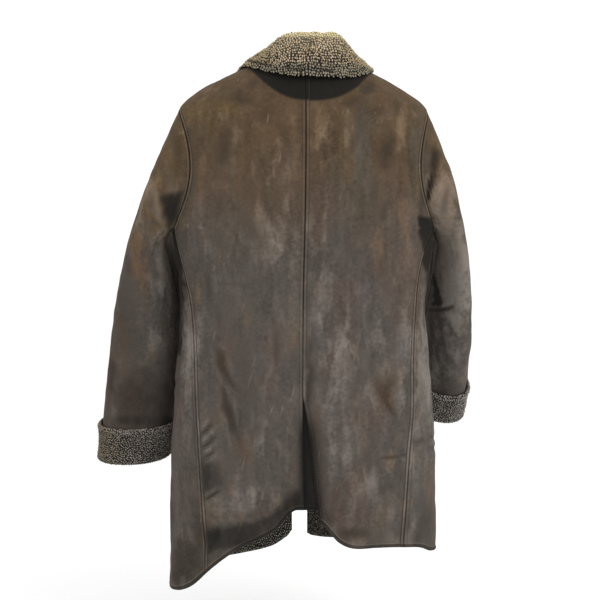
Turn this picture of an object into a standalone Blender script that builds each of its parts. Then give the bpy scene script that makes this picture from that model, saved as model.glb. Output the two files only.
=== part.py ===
"""Faux shearling coat, hollow and filled out with no wearer.

Metres, +Z up. The fronts face -Y, the back faces +Y and the wearer's left is +X. The origin is the centre of
the neck opening, level with the neck ends of the shoulder seams.

The body is one surface. A place on it is a level (a height) and a turn (degrees from the centre back, over
the side at 90, to the centre front at 180), on the left half (side 1) or the right half (side -1).
"""

import math
from collections import namedtuple

import bmesh
import bpy
from mathutils import Vector

WALL = 0.005
PILE_WALL = 0.009
SEAM_GAP = 0.0004
FRONT_EDGE = 0.015
HARD_EDGE = 50.0

# Levels at which the body changes, and the rows and columns of its grids.
UNDERARM = -0.300
ARMHOLE_TOP = -0.086
VENT_TOP = -0.600
BODY_ROWS = 11
BODY_CROWDING = 0.9
ARMHOLE_ROWS = 11
SHOULDER_ROWS = 5
SIDE_STEPS = 4
PANEL_STEPS = (0.0, 0.035, 0.09, 0.18, 0.31, 0.46, 0.62, 0.80, 1.0)

# The armhole's curve, and how far the wall's cut end bends from the body towards the sleeve.
ARMHOLE_START = 0.06
ARMHOLE_POWER = 0.6
ARMHOLE_BEND = 12.0
UNDERARM_BEND = 90.0
BEND_TOP = -0.215
CORNER_RELIEF = 0.5


class Table:
    """Rows of numbers under named columns, read on a smooth curve through the first column's places."""

    def __init__(self, columns, *rows):
        self.columns = columns.split()
        self.rows = sorted(rows)
        self.first = self.rows[0][0]
        self.last = self.rows[-1][0]

    def slope(self, row, column):
        before = self.rows[max(row - 1, 0)]
        after = self.rows[min(row + 1, len(self.rows) - 1)]
        return (after[column] - before[column]) / (after[0] - before[0])

    def at(self, place, name):
        """The value of a column at a place, held at its end values past the table's ends."""
        column = self.columns.index(name)
        place = min(max(place, self.first), self.last)
        row = max(i for i in range(len(self.rows) - 1) if self.rows[i][0] <= place)
        start, end = self.rows[row], self.rows[row + 1]
        span = end[0] - start[0]
        rise = end[column] - start[column]
        t = (place - start[0]) / span
        bend_in = self.slope(row, column) * span - rise
        bend_out = rise - self.slope(row + 1, column) * span
        return start[column] + rise * t + t * (1.0 - t) * (bend_in * (1.0 - t) + bend_out * t)


# Horizontal sections of the body, neck to hem. The drops lower the section at its centre back and at its
# centre front.
SECTIONS = Table(
    "level half_width back front squareness back_drop front_drop",
    (0.000, 0.072, 0.060, 0.070, 2.00, 0.015, 0.075),
    (-0.014, 0.106, 0.079, 0.085, 2.10, 0.015, 0.065),
    (-0.042, 0.163, 0.094, 0.095, 2.20, 0.018, 0.050),
    (-0.068, 0.204, 0.104, 0.101, 2.35, 0.018, 0.040),
    (-0.086, 0.222, 0.109, 0.104, 2.40, 0.017, 0.032),
    (-0.125, 0.229, 0.115, 0.109, 2.50, 0.012, 0.018),
    (-0.180, 0.233, 0.120, 0.115, 2.60, 0.005, 0.006),
    (-0.300, 0.237, 0.121, 0.120, 2.60, 0.000, 0.000),
    (-0.440, 0.222, 0.114, 0.114, 2.60, 0.000, 0.000),
    (-0.600, 0.235, 0.117, 0.116, 2.60, 0.000, 0.000),
    (-0.750, 0.241, 0.118, 0.117, 2.60, 0.000, 0.000),
    (-0.960, 0.245, 0.119, 0.116, 2.60, 0.000, 0.000),
)

# Turns of the two seams that bound the side panel.
SEAMS = Table(
    "level back_seam front_seam",
    (-0.300, 76.0, 104.0),
    (-0.430, 63.0, 113.0),
    (-0.600, 52.0, 122.0),
    (-0.900, 42.0, 130.0),
)

# The hem's height round each half; the left side hangs lower, and both vent corners are rounded up.
HEM = Table(
    "turn left right",
    (0.0, -0.790, -0.803),
    (2.5, -0.800, -0.813),
    (8.0, -0.827, -0.847),
    (14.0, -0.842, -0.860),
    (24.0, -0.864, -0.863),
    (39.0, -0.900, -0.865),
    (52.0, -0.930, -0.868),
    (66.0, -0.945, -0.881),
    (90.0, -0.950, -0.888),
    (130.0, -0.938, -0.893),
    (160.0, -0.917, -0.895),
    (172.0, -0.907, -0.895),
    (178.0, -0.889, -0.888),
)

# Soft folds of the lower body: each swells or sinks the surface round one turn, from nothing at its top.
Fold = namedtuple("Fold", "side turn spread top swell")
FOLDS = (
    Fold(1, 26.0, 13.0, -0.520, -0.010),
    Fold(1, 48.0, 12.0, -0.480, 0.009),
    Fold(1, 138.0, 12.0, -0.500, 0.007),
    Fold(1, 160.0, 9.0, -0.520, -0.006),
    Fold(-1, 9.0, 8.0, -0.560, 0.010),
    Fold(-1, 30.0, 12.0, -0.540, -0.006),
    Fold(-1, 52.0, 12.0, -0.500, 0.008),
    Fold(-1, 140.0, 12.0, -0.500, 0.007),
    Fold(-1, 160.0, 9.0, -0.520, -0.005),
)
FOLD_LENGTH = 0.30

# Sleeve sections below the armhole, by their outer and inner edges (distance from the centre plane, height),
# the place and half of their front-to-back size, the angle by which the arm swings forward there, and the
# angle by which the section's front is twisted towards the body.
SLEEVE_COLUMNS = "place outer_x outer_z inner_x inner_z centre_y half_depth swing twist"
SLEEVES = {
    1: Table(
        SLEEVE_COLUMNS,
        (0, 0.242, -0.128, 0.245, -0.318, 0.000, 0.082, 0.0, 2.0),
        (1, 0.259, -0.178, 0.248, -0.328, -0.003, 0.084, 0.0, 7.0),
        (2, 0.279, -0.240, 0.247, -0.341, -0.008, 0.085, 0.0, 13.0),
        (3, 0.298, -0.305, 0.244, -0.360, -0.014, 0.084, 2.0, 18.0),
        (4, 0.315, -0.370, 0.241, -0.390, -0.021, 0.081, 4.0, 21.0),
        (5, 0.331, -0.440, 0.240, -0.436, -0.029, 0.077, 6.0, 21.0),
        (6, 0.347, -0.525, 0.242, -0.510, -0.040, 0.071, 8.0, 19.0),
        (7, 0.358, -0.590, 0.247, -0.580, -0.051, 0.066, 9.0, 17.0),
        (8, 0.365, -0.645, 0.252, -0.640, -0.060, 0.062, 9.0, 15.0),
        (9, 0.371, -0.708, 0.256, -0.706, -0.070, 0.058, 9.0, 13.0),
    ),
    -1: Table(
        SLEEVE_COLUMNS,
        (0, 0.239, -0.128, 0.245, -0.318, 0.000, 0.082, 0.0, 2.0),
        (1, 0.254, -0.178, 0.248, -0.328, -0.004, 0.084, 0.0, 5.0),
        (2, 0.268, -0.238, 0.249, -0.341, -0.010, 0.085, 2.0, 9.0),
        (3, 0.281, -0.303, 0.247, -0.359, -0.019, 0.084, 6.0, 13.0),
        (4, 0.293, -0.368, 0.244, -0.388, -0.032, 0.081, 12.0, 15.0),
        (5, 0.305, -0.436, 0.240, -0.430, -0.052, 0.077, 19.0, 15.0),
        (6, 0.315, -0.502, 0.234, -0.488, -0.082, 0.071, 26.0, 13.0),
        (7, 0.320, -0.553, 0.229, -0.541, -0.112, 0.066, 31.0, 11.0),
        (8, 0.322, -0.595, 0.226, -0.587, -0.140, 0.062, 33.0, 9.0),
        (9, 0.322, -0.643, 0.224, -0.635, -0.172, 0.058, 33.0, 9.0),
    ),
}
SLEEVE_SQUARENESS = 2.2
SLEEVE_PLACES = [0.0, 1.0, 2.0, 3.0, 4.0, 5.0, 6.0, 7.0]
CUFF_PLACES = [7.85, 8.2, 8.6, 9.0]
CUFF_DROP = 0.006
CAP_EASE = 0.6

# The collar round the neck: how far its roll stands above the neck seam, the roll's radius, and the
# level and stand-off of the falling edge over the body.
COLLAR = Table(
    "turn rise radius edge_level stand_off",
    (0.0, 0.052, 0.0090, -0.026, 0.011),
    (15.0, 0.052, 0.0090, -0.025, 0.011),
    (30.0, 0.044, 0.0080, -0.023, 0.010),
    (45.0, 0.030, 0.0070, -0.020, 0.009),
    (60.0, 0.019, 0.0060, -0.018, 0.008),
    (90.0, 0.012, 0.0055, -0.016, 0.007),
    (120.0, 0.012, 0.0055, -0.032, 0.007),
    (145.0, 0.013, 0.0055, -0.060, 0.008),
    (170.0, 0.014, 0.0055, -0.085, 0.008),
)
COLLAR_WALL = 0.006
COLLAR_GAP = 0.0010
COLLAR_LEAN = -0.006
ROLL_ANGLES = (180, 135, 90, 55, 25)
FALL_STEPS = 4
FALL_PULL = 0.3
FALL_BULGE = (0.08, 0.05)

# The strip that is sewn under the right back's vent edge and reaches behind the left back. Its left part
# steps from the right back's inside down to the left back's inside, by these shares of its width and depth.
VENT_FLARE = 0.019
FLARE_LENGTH = 0.27
UNDERLAP_TOP = -0.709
UNDERLAP_BOTTOM = -0.951
UNDERLAP_ROWS = 5
UNDERLAP_COLUMNS = 4
UNDERLAP_LEFT = 0.026
UNDERLAP_SINK = 0.003
UNDERLAP_STEPS = ((0.25, 0.5), (0.5, 1.0), (0.75, 1.0), (1.0, 1.0))

EdgePoint = namedtuple("EdgePoint", "level turn point normal cut away")
UP = Vector((0.0, 0.0, 1.0))
TINY = 1e-9
TURN_STEP = 0.2
LEVEL_STEP = 0.0005


def powered(value, power):
    return math.copysign(abs(value) ** power, value)


def ease(value):
    value = min(max(value, 0.0), 1.0)
    return value * value * (3.0 - 2.0 * value)


def swell(side, turn, height):
    """How far the lower body's folds push the surface out at a place."""
    total = 0.0
    for fold in FOLDS:
        if fold.side == side:
            near = math.exp(-(((turn - fold.turn) / fold.spread) ** 2))
            total += fold.swell * near * ease((fold.top - height) / FOLD_LENGTH)
    return total


def section_point(side, height, turn):
    """A point of the body's outer face in the horizontal section at a height."""
    half = "back" if turn < 90.0 else "front"
    angle = math.radians(turn)
    power = 2.0 / SECTIONS.at(height, "squareness")
    across = SECTIONS.at(height, "half_width") * powered(math.sin(angle), power)
    depth = SECTIONS.at(height, half) + swell(side, turn, height)
    drop = SECTIONS.at(height, half + "_drop") * math.cos(angle) ** 2
    return Vector((side * across, depth * powered(math.cos(angle), power), height - drop))


def body_point(side, level, turn):
    """A point of the body's outer face. Levels from the underarm down are stretched to reach the hem."""
    if level >= UNDERARM:
        return section_point(side, level, turn)
    share = (UNDERARM - level) / (UNDERARM - SECTIONS.first)
    bottom = HEM.at(turn, "left" if side > 0 else "right")
    return section_point(side, UNDERARM + (bottom - UNDERARM) * share, turn)


def body_normal(side, level, turn):
    low = max(turn - TURN_STEP, 0.0)
    high = min(turn + TURN_STEP, 180.0)
    round_way = body_point(side, level, high) - body_point(side, level, low)
    above = body_point(side, min(level + LEVEL_STEP, 0.0), turn)
    up_way = above - body_point(side, level - LEVEL_STEP, turn)
    return (up_way.cross(round_way) * side).normalized()


def edge_turn(level, distance):
    """The turn, near the centre front, at which the body is this far from the centre plane."""
    share = distance / SECTIONS.at(level, "half_width")
    return 180.0 - math.degrees(math.asin(share ** (SECTIONS.at(level, "squareness") / 2.0)))


def vent_turn(side, level):
    """The turn of the back's centre edge: the seam, and below it the right back's flare."""
    if side > 0 or level > VENT_TOP:
        return 0.0
    return 180.0 - edge_turn(level, VENT_FLARE * ease((VENT_TOP - level) / FLARE_LENGTH))


def seam_turns(level):
    return SEAMS.at(level, "back_seam"), SEAMS.at(level, "front_seam")


def armhole_width(share):
    """The armhole's width at a share of its whole height, as part of its greatest width."""
    return max(1.0 - (2.0 * share - 1.0) ** 2, 0.0) ** ARMHOLE_POWER


def armhole_turns(level):
    """The turns of the armhole's back and front edges at a level, from the side panel's seams upwards."""
    rise = min(max((level - UNDERARM) / (ARMHOLE_TOP - UNDERARM), 0.0), 1.0)
    wide = armhole_width(ARMHOLE_START + (1.0 - ARMHOLE_START) * rise) / armhole_width(ARMHOLE_START)
    first, last = seam_turns(UNDERARM)
    return 90.0 - (90.0 - first) * wide, 90.0 + (last - 90.0) * wide


def levels():
    """The levels of the body's rows, hem to neck."""
    fall = UNDERARM - SECTIONS.first
    rise = ARMHOLE_TOP - UNDERARM
    rows = [SECTIONS.first + fall * (i / BODY_ROWS) ** BODY_CROWDING for i in range(BODY_ROWS)]
    rows += [UNDERARM + rise * math.sin(math.pi / 2 * i / ARMHOLE_ROWS) for i in range(ARMHOLE_ROWS)]
    rows += [ARMHOLE_TOP * (1.0 - i / SHOULDER_ROWS) for i in range(SHOULDER_ROWS + 1)]
    return rows


def outer_turns(level):
    """The turns at which the back and the front end, away from the centre."""
    if level < UNDERARM - TINY:
        return seam_turns(level)
    if level < ARMHOLE_TOP - TINY:
        return armhole_turns(level)
    return 90.0, 90.0


def spaced(start, end, steps):
    return [start + (end - start) * step for step in steps]


def body_grid(side, rows_of_turns):
    """Points and normals for rows of (level, turns)."""
    points = [[body_point(side, level, turn) for turn in turns] for level, turns in rows_of_turns]
    normals = [[body_normal(side, level, turn) for turn in turns] for level, turns in rows_of_turns]
    return points, normals


def material(name, colour, roughness):
    made = bpy.data.materials.get(name) or bpy.data.materials.new(name)
    made.use_nodes = True
    shader = made.node_tree.nodes["Principled BSDF"]
    shader.inputs["Base Color"].default_value = (*colour, 1.0)
    shader.inputs["Roughness"].default_value = roughness
    shader.inputs["Metallic"].default_value = 0.0
    return made


def solid(name, outer, inner, closed, made_of):
    """A closed wall between two grids of points with equal rows; closed joins its last and first columns."""
    mesh = bmesh.new()
    across = len(outer[0])
    grids = [[[mesh.verts.new(point) for point in row] for row in grid] for grid in (outer, inner)]
    turns = range(across) if closed else range(across - 1)

    def face(*corners):
        mesh.faces.new(corners)

    for row in range(len(outer) - 1):
        for column in turns:
            after = (column + 1) % across
            for grid, order in ((grids[0], 1), (grids[1], -1)):
                corners = (grid[row][column], grid[row][after], grid[row + 1][after], grid[row + 1][column])
                face(*corners[::order])

    def rim(row, column, next_row, next_column):
        """An edge face, cut across its shorter diagonal so that neighbours' faces lie side by side."""
        start, end = grids[0][row][column], grids[0][next_row][next_column]
        end_in, start_in = grids[1][next_row][next_column], grids[1][row][column]
        if (start.co - end_in.co).length < (end.co - start_in.co).length:
            face(start, end, end_in)
            face(start, end_in, start_in)
        else:
            face(start, end, start_in)
            face(end, end_in, start_in)

    for row in (0, len(outer) - 1):
        for column in turns:
            rim(row, column, row, (column + 1) % across)
    if not closed:
        for column in (0, across - 1):
            for row in range(len(outer) - 1):
                rim(row, column, row + 1, column)
    bmesh.ops.recalc_face_normals(mesh, faces=mesh.faces)
    data = bpy.data.meshes.new(name)
    mesh.to_mesh(data)
    mesh.free()
    data.shade_smooth()
    data.set_sharp_from_angle(angle=math.radians(HARD_EDGE))
    piece = bpy.data.objects.new(name, data)
    piece.data.materials.append(made_of)
    bpy.context.scene.collection.objects.link(piece)
    return piece


def part_seams(grid):
    """Draws both side edges of a grid in from its neighbours by half the seam gap."""
    for row in grid:
        for edge, inside in ((0, 1), (-1, -2)):
            row[edge] += (row[inside] - row[edge]).normalized() * SEAM_GAP / 2
    return grid


def lower_top(grid):
    """Draws the top edge of a grid down from what is sewn above it."""
    for column in range(len(grid[0])):
        grid[-1][column] += (grid[-2][column] - grid[-1][column]).normalized() * SEAM_GAP
    return grid


def walled(points, normals, thickness):
    inner = [
        [point - normal * thickness for point, normal in zip(row, normal_row)]
        for row, normal_row in zip(points, normals)
    ]
    return points, inner


def body_panel(name, side, rows_of_turns, made_of, sewn_above=False):
    points, normals = body_grid(side, rows_of_turns)
    cuts = {(round(edge.level, 6), round(edge.turn, 4)): edge.cut for edge in armhole(side)}
    for (level, turns), row in zip(rows_of_turns, normals):
        row[:] = [cuts.get((round(level, 6), round(turn, 4)), normal) for turn, normal in zip(turns, row)]
    outer, inner = walled(points, normals, WALL)
    for grid in (outer, inner):
        part_seams(grid)
        if sewn_above:
            lower_top(grid)
    return solid(name, outer, inner, False, made_of)


def back(side, word, made_of):
    rows = []
    for level in levels():
        rows.append((level, spaced(vent_turn(side, level), outer_turns(level)[0], PANEL_STEPS)))
    return body_panel("back_" + word, side, rows, made_of)


def front(side, word, made_of):
    rows = []
    for level in levels():
        rows.append((level, spaced(edge_turn(level, FRONT_EDGE), outer_turns(level)[1], PANEL_STEPS)))
    return body_panel("front_" + word, side, rows, made_of)


def side_panel(side, word, made_of):
    steps = [i / SIDE_STEPS for i in range(SIDE_STEPS + 1)]
    low = [level for level in levels() if level < UNDERARM + TINY]
    rows = [(level, spaced(*seam_turns(level), steps)) for level in low]
    return body_panel("side_" + word, side, rows, made_of, sewn_above=True)


def armhole(side):
    """The armhole's edge, point by point: top, down the back, along the side panel and up the front.

    The cut is the direction of the wall's end, from its inner edge to its outer edge. It halves the angle
    between body and sleeve, which meet back to back under the arm.
    """
    up = [level for level in levels() if UNDERARM - TINY < level < ARMHOLE_TOP - TINY]
    places = [(ARMHOLE_TOP, 90.0)]
    places += [(level, armhole_turns(level)[0]) for level in reversed(up)]
    first, last = seam_turns(UNDERARM)
    places += [(UNDERARM, first + (last - first) * i / SIDE_STEPS) for i in range(1, SIDE_STEPS)]
    places += [(level, armhole_turns(level)[1]) for level in up]
    points = [body_point(side, *place) for place in places]
    edge = []
    for i, (level, turn) in enumerate(places):
        normal = body_normal(side, level, turn)
        along = (points[(i + 1) % len(points)] - points[i - 1]).normalized()
        into_arm = along.cross(normal).normalized() * side
        beside = min(abs(turn - 90.0) / (90.0 - first), 1.0)
        under = ease((BEND_TOP - level) / (BEND_TOP - UNDERARM)) * (1.0 - CORNER_RELIEF * beside)
        bend = math.radians(ARMHOLE_BEND + (UNDERARM_BEND - ARMHOLE_BEND) * under)
        cut = (normal * math.cos(bend) - into_arm * math.sin(bend)).normalized()
        edge.append(EdgePoint(level, turn, points[i], normal, cut, along.cross(cut).normalized() * side))
    return edge


def sleeve_section(side, place):
    """Centre and half-vectors to the outer edge and to the back, at a place along the sleeve's rows."""
    size = {name: SLEEVES[side].at(place, name) for name in SLEEVES[side].columns}
    outer = Vector((side * size["outer_x"], size["centre_y"], size["outer_z"]))
    inner = Vector((side * size["inner_x"], size["centre_y"], size["inner_z"]))
    swing = math.radians(size["swing"])
    twist = math.radians(size["twist"])
    back_way = math.cos(twist)
    depth = Vector((side * math.sin(twist), back_way * math.cos(swing), -back_way * math.sin(swing)))
    depth *= size["half_depth"]
    return (outer + inner) / 2, (outer - inner) / 2, depth


def sleeve_angles(side):
    """The angle of each armhole point round the sleeve, 0 at the top, a quarter turn at the back."""
    loop = [edge.point for edge in armhole(side)]
    top = loop[0]
    bottom = loop[len(loop) // 2]
    middle = (top + bottom) / 2
    reach = (top - bottom) / 2
    depth = max(abs(point.y - middle.y) for point in loop)
    angles = []
    for point in loop:
        up = (point - middle).dot(reach) / reach.length_squared
        back_share = (point.y - middle.y) / depth
        angles.append(math.atan2(back_share, up))
    return angles


def sleeve_ring(side, place, angles):
    """A ring of the sleeve's outer face, with each point's outward direction in the ring's plane."""
    centre, outward, depth = sleeve_section(side, place)
    power = 2.0 / SLEEVE_SQUARENESS
    points = []
    ways = []
    for angle in angles:
        across = powered(math.cos(angle), power)
        along = powered(math.sin(angle), power)
        points.append(centre + outward * across + depth * along)
        ways.append(outward * (across / outward.length_squared) + depth * (along / depth.length_squared))
    return points, ways


def sleeve_grid(side):
    """Rings of points and normals from the armhole to the sleeve's end, the last few under the cuff."""
    edge = armhole(side)
    angles = sleeve_angles(side)
    rings = [sleeve_ring(side, place, angles) for place in SLEEVE_PLACES + CUFF_PLACES]
    grid = [[point.point for point in edge]] + [points for points, _ in rings]
    grid[1] = [start.lerp(point, CAP_EASE) for start, point in zip(grid[0], grid[1])]
    normals = [[point.normal for point in edge]]
    for i, (_, ways) in enumerate(rings, start=1):
        after = grid[min(i + 1, len(grid) - 1)]
        runs = [(end - start).normalized() for start, end in zip(grid[i - 1], after)]
        normals.append([(way - run * way.dot(run)).normalized() for way, run in zip(ways, runs)])
    return grid, normals


def sleeve(side, word, made_of):
    grid, normals = sleeve_grid(side)
    edge = armhole(side)
    outer, inner = walled(grid, [[point.cut for point in edge]] + normals[1:], WALL)
    for face in (outer, inner):
        face[0] = [place + point.away * SEAM_GAP for place, point in zip(face[0], edge)]
    return solid("sleeve_" + word, outer, inner, True, made_of)


def cuff(side, word, made_of):
    """The sleeve's pile end turned up over its outside."""
    grid, normals = sleeve_grid(side)
    grid = grid[-len(CUFF_PLACES):]
    normals = normals[-len(CUFF_PLACES):]
    down = (sum(grid[-1], Vector()) - sum(grid[0], Vector())).normalized() * CUFF_DROP
    grid.append([point + down for point in grid[-1]])
    normals.append(normals[-1])
    inner = [[p + n * SEAM_GAP for p, n in zip(row, ways)] for row, ways in zip(grid, normals)]
    outer = [[p + n * (SEAM_GAP + PILE_WALL) for p, n in zip(row, ways)] for row, ways in zip(grid, normals)]
    return solid("cuff_" + word, outer, inner, True, made_of)


def collar_profile(side, turn):
    """Points of the collar's middle sheet, from the neck seam over the roll to the falling edge."""
    size = {name: COLLAR.at(turn, name) for name in COLLAR.columns}
    foot = body_point(side, 0.0, turn)
    away = Vector((foot.x, foot.y, 0.0)).normalized()
    foot = foot + UP * COLLAR_GAP - away * (COLLAR_WALL / 2 + SEAM_GAP)
    radius = size["radius"]
    lean = Vector((COLLAR_LEAN * size["rise"] / COLLAR.at(0.0, "rise"), 0.0, 0.0))
    middle = foot + lean + away * radius + UP * (size["rise"] - radius)
    roll = []
    for degrees in ROLL_ANGLES:
        angle = math.radians(degrees)
        roll.append(middle + away * radius * math.cos(angle) + UP * radius * math.sin(angle))
    edge = body_point(side, size["edge_level"], turn)
    edge = edge + body_normal(side, size["edge_level"], turn) * size["stand_off"]
    start = roll[-1]
    bulge = (away * FALL_BULGE[0] + UP * FALL_BULGE[1]) * (edge - start).length
    pull = start.lerp(edge, FALL_PULL) + bulge
    fall = [curve(start, pull, edge, i / FALL_STEPS) for i in range(1, FALL_STEPS + 1)]
    return [foot, (foot + roll[0]) / 2] + roll + fall


def curve(start, pull, end, t):
    return start * (1 - t) ** 2 + pull * (2 * t * (1 - t)) + end * t**2


def collar_turns():
    """The turns of the neck edge's own points, from the front edge to the centre back."""
    front_turns = spaced(edge_turn(0.0, FRONT_EDGE), 90.0, PANEL_STEPS)
    back_turns = spaced(0.0, 90.0, PANEL_STEPS)
    return front_turns + back_turns[-2::-1]


def collar(made_of):
    turns = collar_turns()
    places = [(1, turn) for turn in turns] + [(-1, turn) for turn in reversed(turns[:-1])]
    columns = [collar_profile(side, turn) for side, turn in places]
    rows = len(columns[0])
    sheet = [[column[i] for column in columns] for i in range(rows)]
    outer = []
    inner = []
    for i in range(rows):
        outer.append([])
        inner.append([])
        for j in range(len(columns)):
            along = sheet[min(i + 1, rows - 1)][j] - sheet[i - 1][j] if i else UP
            around = sheet[i][min(j + 1, len(columns) - 1)] - sheet[i][max(j - 1, 0)]
            normal = around.cross(along).normalized()
            outer[i].append(sheet[i][j] + normal * COLLAR_WALL / 2)
            inner[i].append(sheet[i][j] - normal * COLLAR_WALL / 2)
    return solid("collar", outer, inner, False, made_of)


def underlap_row(level):
    """Points of the strip's outer face: under the right back, then across to behind the left back."""
    turns = spaced(vent_turn(-1, level), outer_turns(level)[0], PANEL_STEPS[:UNDERLAP_COLUMNS])
    row = []
    for turn in reversed(turns):
        row.append(body_point(-1, level, turn) - body_normal(-1, level, turn) * (WALL + SEAM_GAP))
    edge = row[-1].copy()
    for share, depth in UNDERLAP_STEPS:
        across = edge.x + (UNDERLAP_LEFT - edge.x) * share
        turn = 180.0 - edge_turn(edge.z, abs(across))
        behind = section_point(1, edge.z, turn).y - WALL - SEAM_GAP - UNDERLAP_SINK
        row.append(Vector((across, edge.y + (behind - edge.y) * depth, edge.z)))
    return row


def underlap(made_of):
    """A strip behind the vent, as thick as the backs."""
    shares = [i / UNDERLAP_ROWS for i in range(UNDERLAP_ROWS + 1)]
    outer = [underlap_row(level) for level in spaced(UNDERLAP_BOTTOM, UNDERLAP_TOP, shares)]
    inner = [[point - Vector((0.0, WALL, 0.0)) for point in row] for row in outer]
    return solid("vent_underlap", outer, inner, False, made_of)


def main():
    for thing in list(bpy.data.objects):
        bpy.data.objects.remove(thing, do_unlink=True)
    suede = material("brown_faux_suede", (0.090, 0.068, 0.051), 0.92)
    pile = material("grey_curly_pile", (0.145, 0.125, 0.095), 0.98)
    for side, word in ((1, "left"), (-1, "right")):
        back(side, word, suede)
        side_panel(side, word, suede)
        front(side, word, suede)
        sleeve(side, word, suede)
        cuff(side, word, pile)
    collar(pile)
    underlap(suede)


main()
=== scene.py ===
"""The looks of a faux shearling coat: suede panels, curly pile, seams, stitches and a studio.

Metres, in the frame's axes: +Z up, +Y the back, +X the wearer's left. A place on the body is a level (a
height) and a turn (degrees from the centre back, over the side at 90, to the centre front at 180), on the
left half (side 1) or the right half (side -1). A grid of points has rows up the cloth and columns across.
"""

import functools
import math
from collections import namedtuple

import bmesh
import bpy
import numpy as np
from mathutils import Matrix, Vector

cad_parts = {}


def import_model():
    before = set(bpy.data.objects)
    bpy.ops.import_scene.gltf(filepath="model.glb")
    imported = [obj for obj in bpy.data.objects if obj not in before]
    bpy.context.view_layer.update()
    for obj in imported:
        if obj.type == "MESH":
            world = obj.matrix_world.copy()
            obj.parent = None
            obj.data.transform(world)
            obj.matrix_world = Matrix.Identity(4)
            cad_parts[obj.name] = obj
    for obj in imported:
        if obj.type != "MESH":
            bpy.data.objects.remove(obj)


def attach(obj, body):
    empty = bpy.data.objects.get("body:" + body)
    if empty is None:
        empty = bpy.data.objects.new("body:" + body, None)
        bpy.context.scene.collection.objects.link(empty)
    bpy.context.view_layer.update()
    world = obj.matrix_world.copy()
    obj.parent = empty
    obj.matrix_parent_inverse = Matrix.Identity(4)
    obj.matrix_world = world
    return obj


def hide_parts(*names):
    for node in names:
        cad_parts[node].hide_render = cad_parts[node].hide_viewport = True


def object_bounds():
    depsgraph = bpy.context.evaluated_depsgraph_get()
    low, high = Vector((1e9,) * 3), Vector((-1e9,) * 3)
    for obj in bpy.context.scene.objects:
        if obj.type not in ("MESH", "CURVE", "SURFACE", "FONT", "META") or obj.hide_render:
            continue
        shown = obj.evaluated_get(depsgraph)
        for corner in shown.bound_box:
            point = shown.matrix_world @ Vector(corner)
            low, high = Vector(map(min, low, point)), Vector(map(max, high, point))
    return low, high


SIDES = ((1, "left"), (-1, "right"))

# Walls, the gap between layers, and how far neighbouring pieces reach into each other at a seam.
WALL = 0.005
SEAM_GAP = 0.0003
SEAM_LAP = 0.0003
RIM_MERGE = 0.00003
FRONT_EDGE = 0.015

# Levels at which the body changes.
UNDERARM = -0.300
ARMHOLE_TOP = -0.086

# The armhole's curve, and how far the wall's end bends from the body towards the sleeve.
ARMHOLE_START = 0.06
ARMHOLE_POWER = 0.6
ARMHOLE_BEND = 12.0
UNDERARM_BEND = 90.0
BEND_TOP = -0.215
CORNER_RELIEF = 0.5

# Tables of folds, patches and creases are in millimetres where they say so.
MILLIMETRES = 1000.0


def curve(places, rows, wanted):
    """Values at the wanted places, on a smooth curve through rows of values at their places."""
    count = len(places)
    before = np.maximum(np.arange(count) - 1, 0)
    after = np.minimum(np.arange(count) + 1, count - 1)
    slopes = (rows[after] - rows[before]) / (places[after] - places[before])[:, None]
    row = np.clip(np.searchsorted(places, wanted, side="right") - 1, 0, count - 2)
    span = (places[row + 1] - places[row])[..., None]
    rise = rows[row + 1] - rows[row]
    t = (wanted - places[row])[..., None] / span
    bend_in = slopes[row] * span - rise
    bend_out = rise - slopes[row + 1] * span
    return rows[row] + rise * t + t * (1.0 - t) * (bend_in * (1.0 - t) + bend_out * t)


class Table:
    """Rows of numbers under named columns, read on a smooth curve through the first column's places."""

    def __init__(self, columns, *rows):
        self.columns = columns.split()
        self.rows = np.array(sorted(rows), float)

    def at(self, place, name):
        """A column's values at places, held at its end values past the table's ends."""
        places = self.rows[:, 0]
        column = self.columns.index(name)
        wanted = np.clip(place, places[0], places[-1])
        return curve(places, self.rows[:, column : column + 1], wanted)[..., 0]


# Horizontal sections of the body. The drops lower a section at its centre back and at its centre front.
SECTIONS = Table(
    "level half_width back front squareness back_drop front_drop",
    (0.000, 0.072, 0.060, 0.070, 2.00, 0.015, 0.075),
    (-0.014, 0.106, 0.079, 0.085, 2.10, 0.015, 0.065),
    (-0.042, 0.163, 0.094, 0.095, 2.20, 0.018, 0.050),
    (-0.068, 0.204, 0.104, 0.101, 2.35, 0.018, 0.040),
    (-0.086, 0.222, 0.109, 0.104, 2.40, 0.017, 0.032),
    (-0.125, 0.229, 0.115, 0.109, 2.50, 0.012, 0.018),
    (-0.180, 0.233, 0.120, 0.115, 2.60, 0.005, 0.006),
    (-0.300, 0.237, 0.121, 0.120, 2.60, 0.000, 0.000),
    (-0.440, 0.222, 0.114, 0.114, 2.60, 0.000, 0.000),
    (-0.600, 0.235, 0.117, 0.116, 2.60, 0.000, 0.000),
    (-0.750, 0.241, 0.118, 0.117, 2.60, 0.000, 0.000),
    (-0.960, 0.245, 0.119, 0.116, 2.60, 0.000, 0.000),
)
LOWEST = -0.960

# Turns of the two seams that bound the side panel.
SEAMS = {
    1: Table(
        "level back_seam front_seam",
        (-0.300, 76.0, 104.0),
        (-0.430, 63.0, 113.0),
        (-0.600, 52.0, 122.0),
        (-0.900, 42.0, 130.0),
    ),
    -1: Table(
        "level back_seam front_seam",
        (-0.300, 76.0, 104.0),
        (-0.342, 63.0, 107.0),
        (-0.389, 59.0, 110.0),
        (-0.467, 58.0, 115.0),
        (-0.528, 54.5, 118.0),
        (-0.594, 51.0, 122.0),
        (-0.689, 48.0, 125.0),
        (-0.767, 44.5, 127.0),
        (-0.943, 39.5, 131.0),
    ),
}

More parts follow.
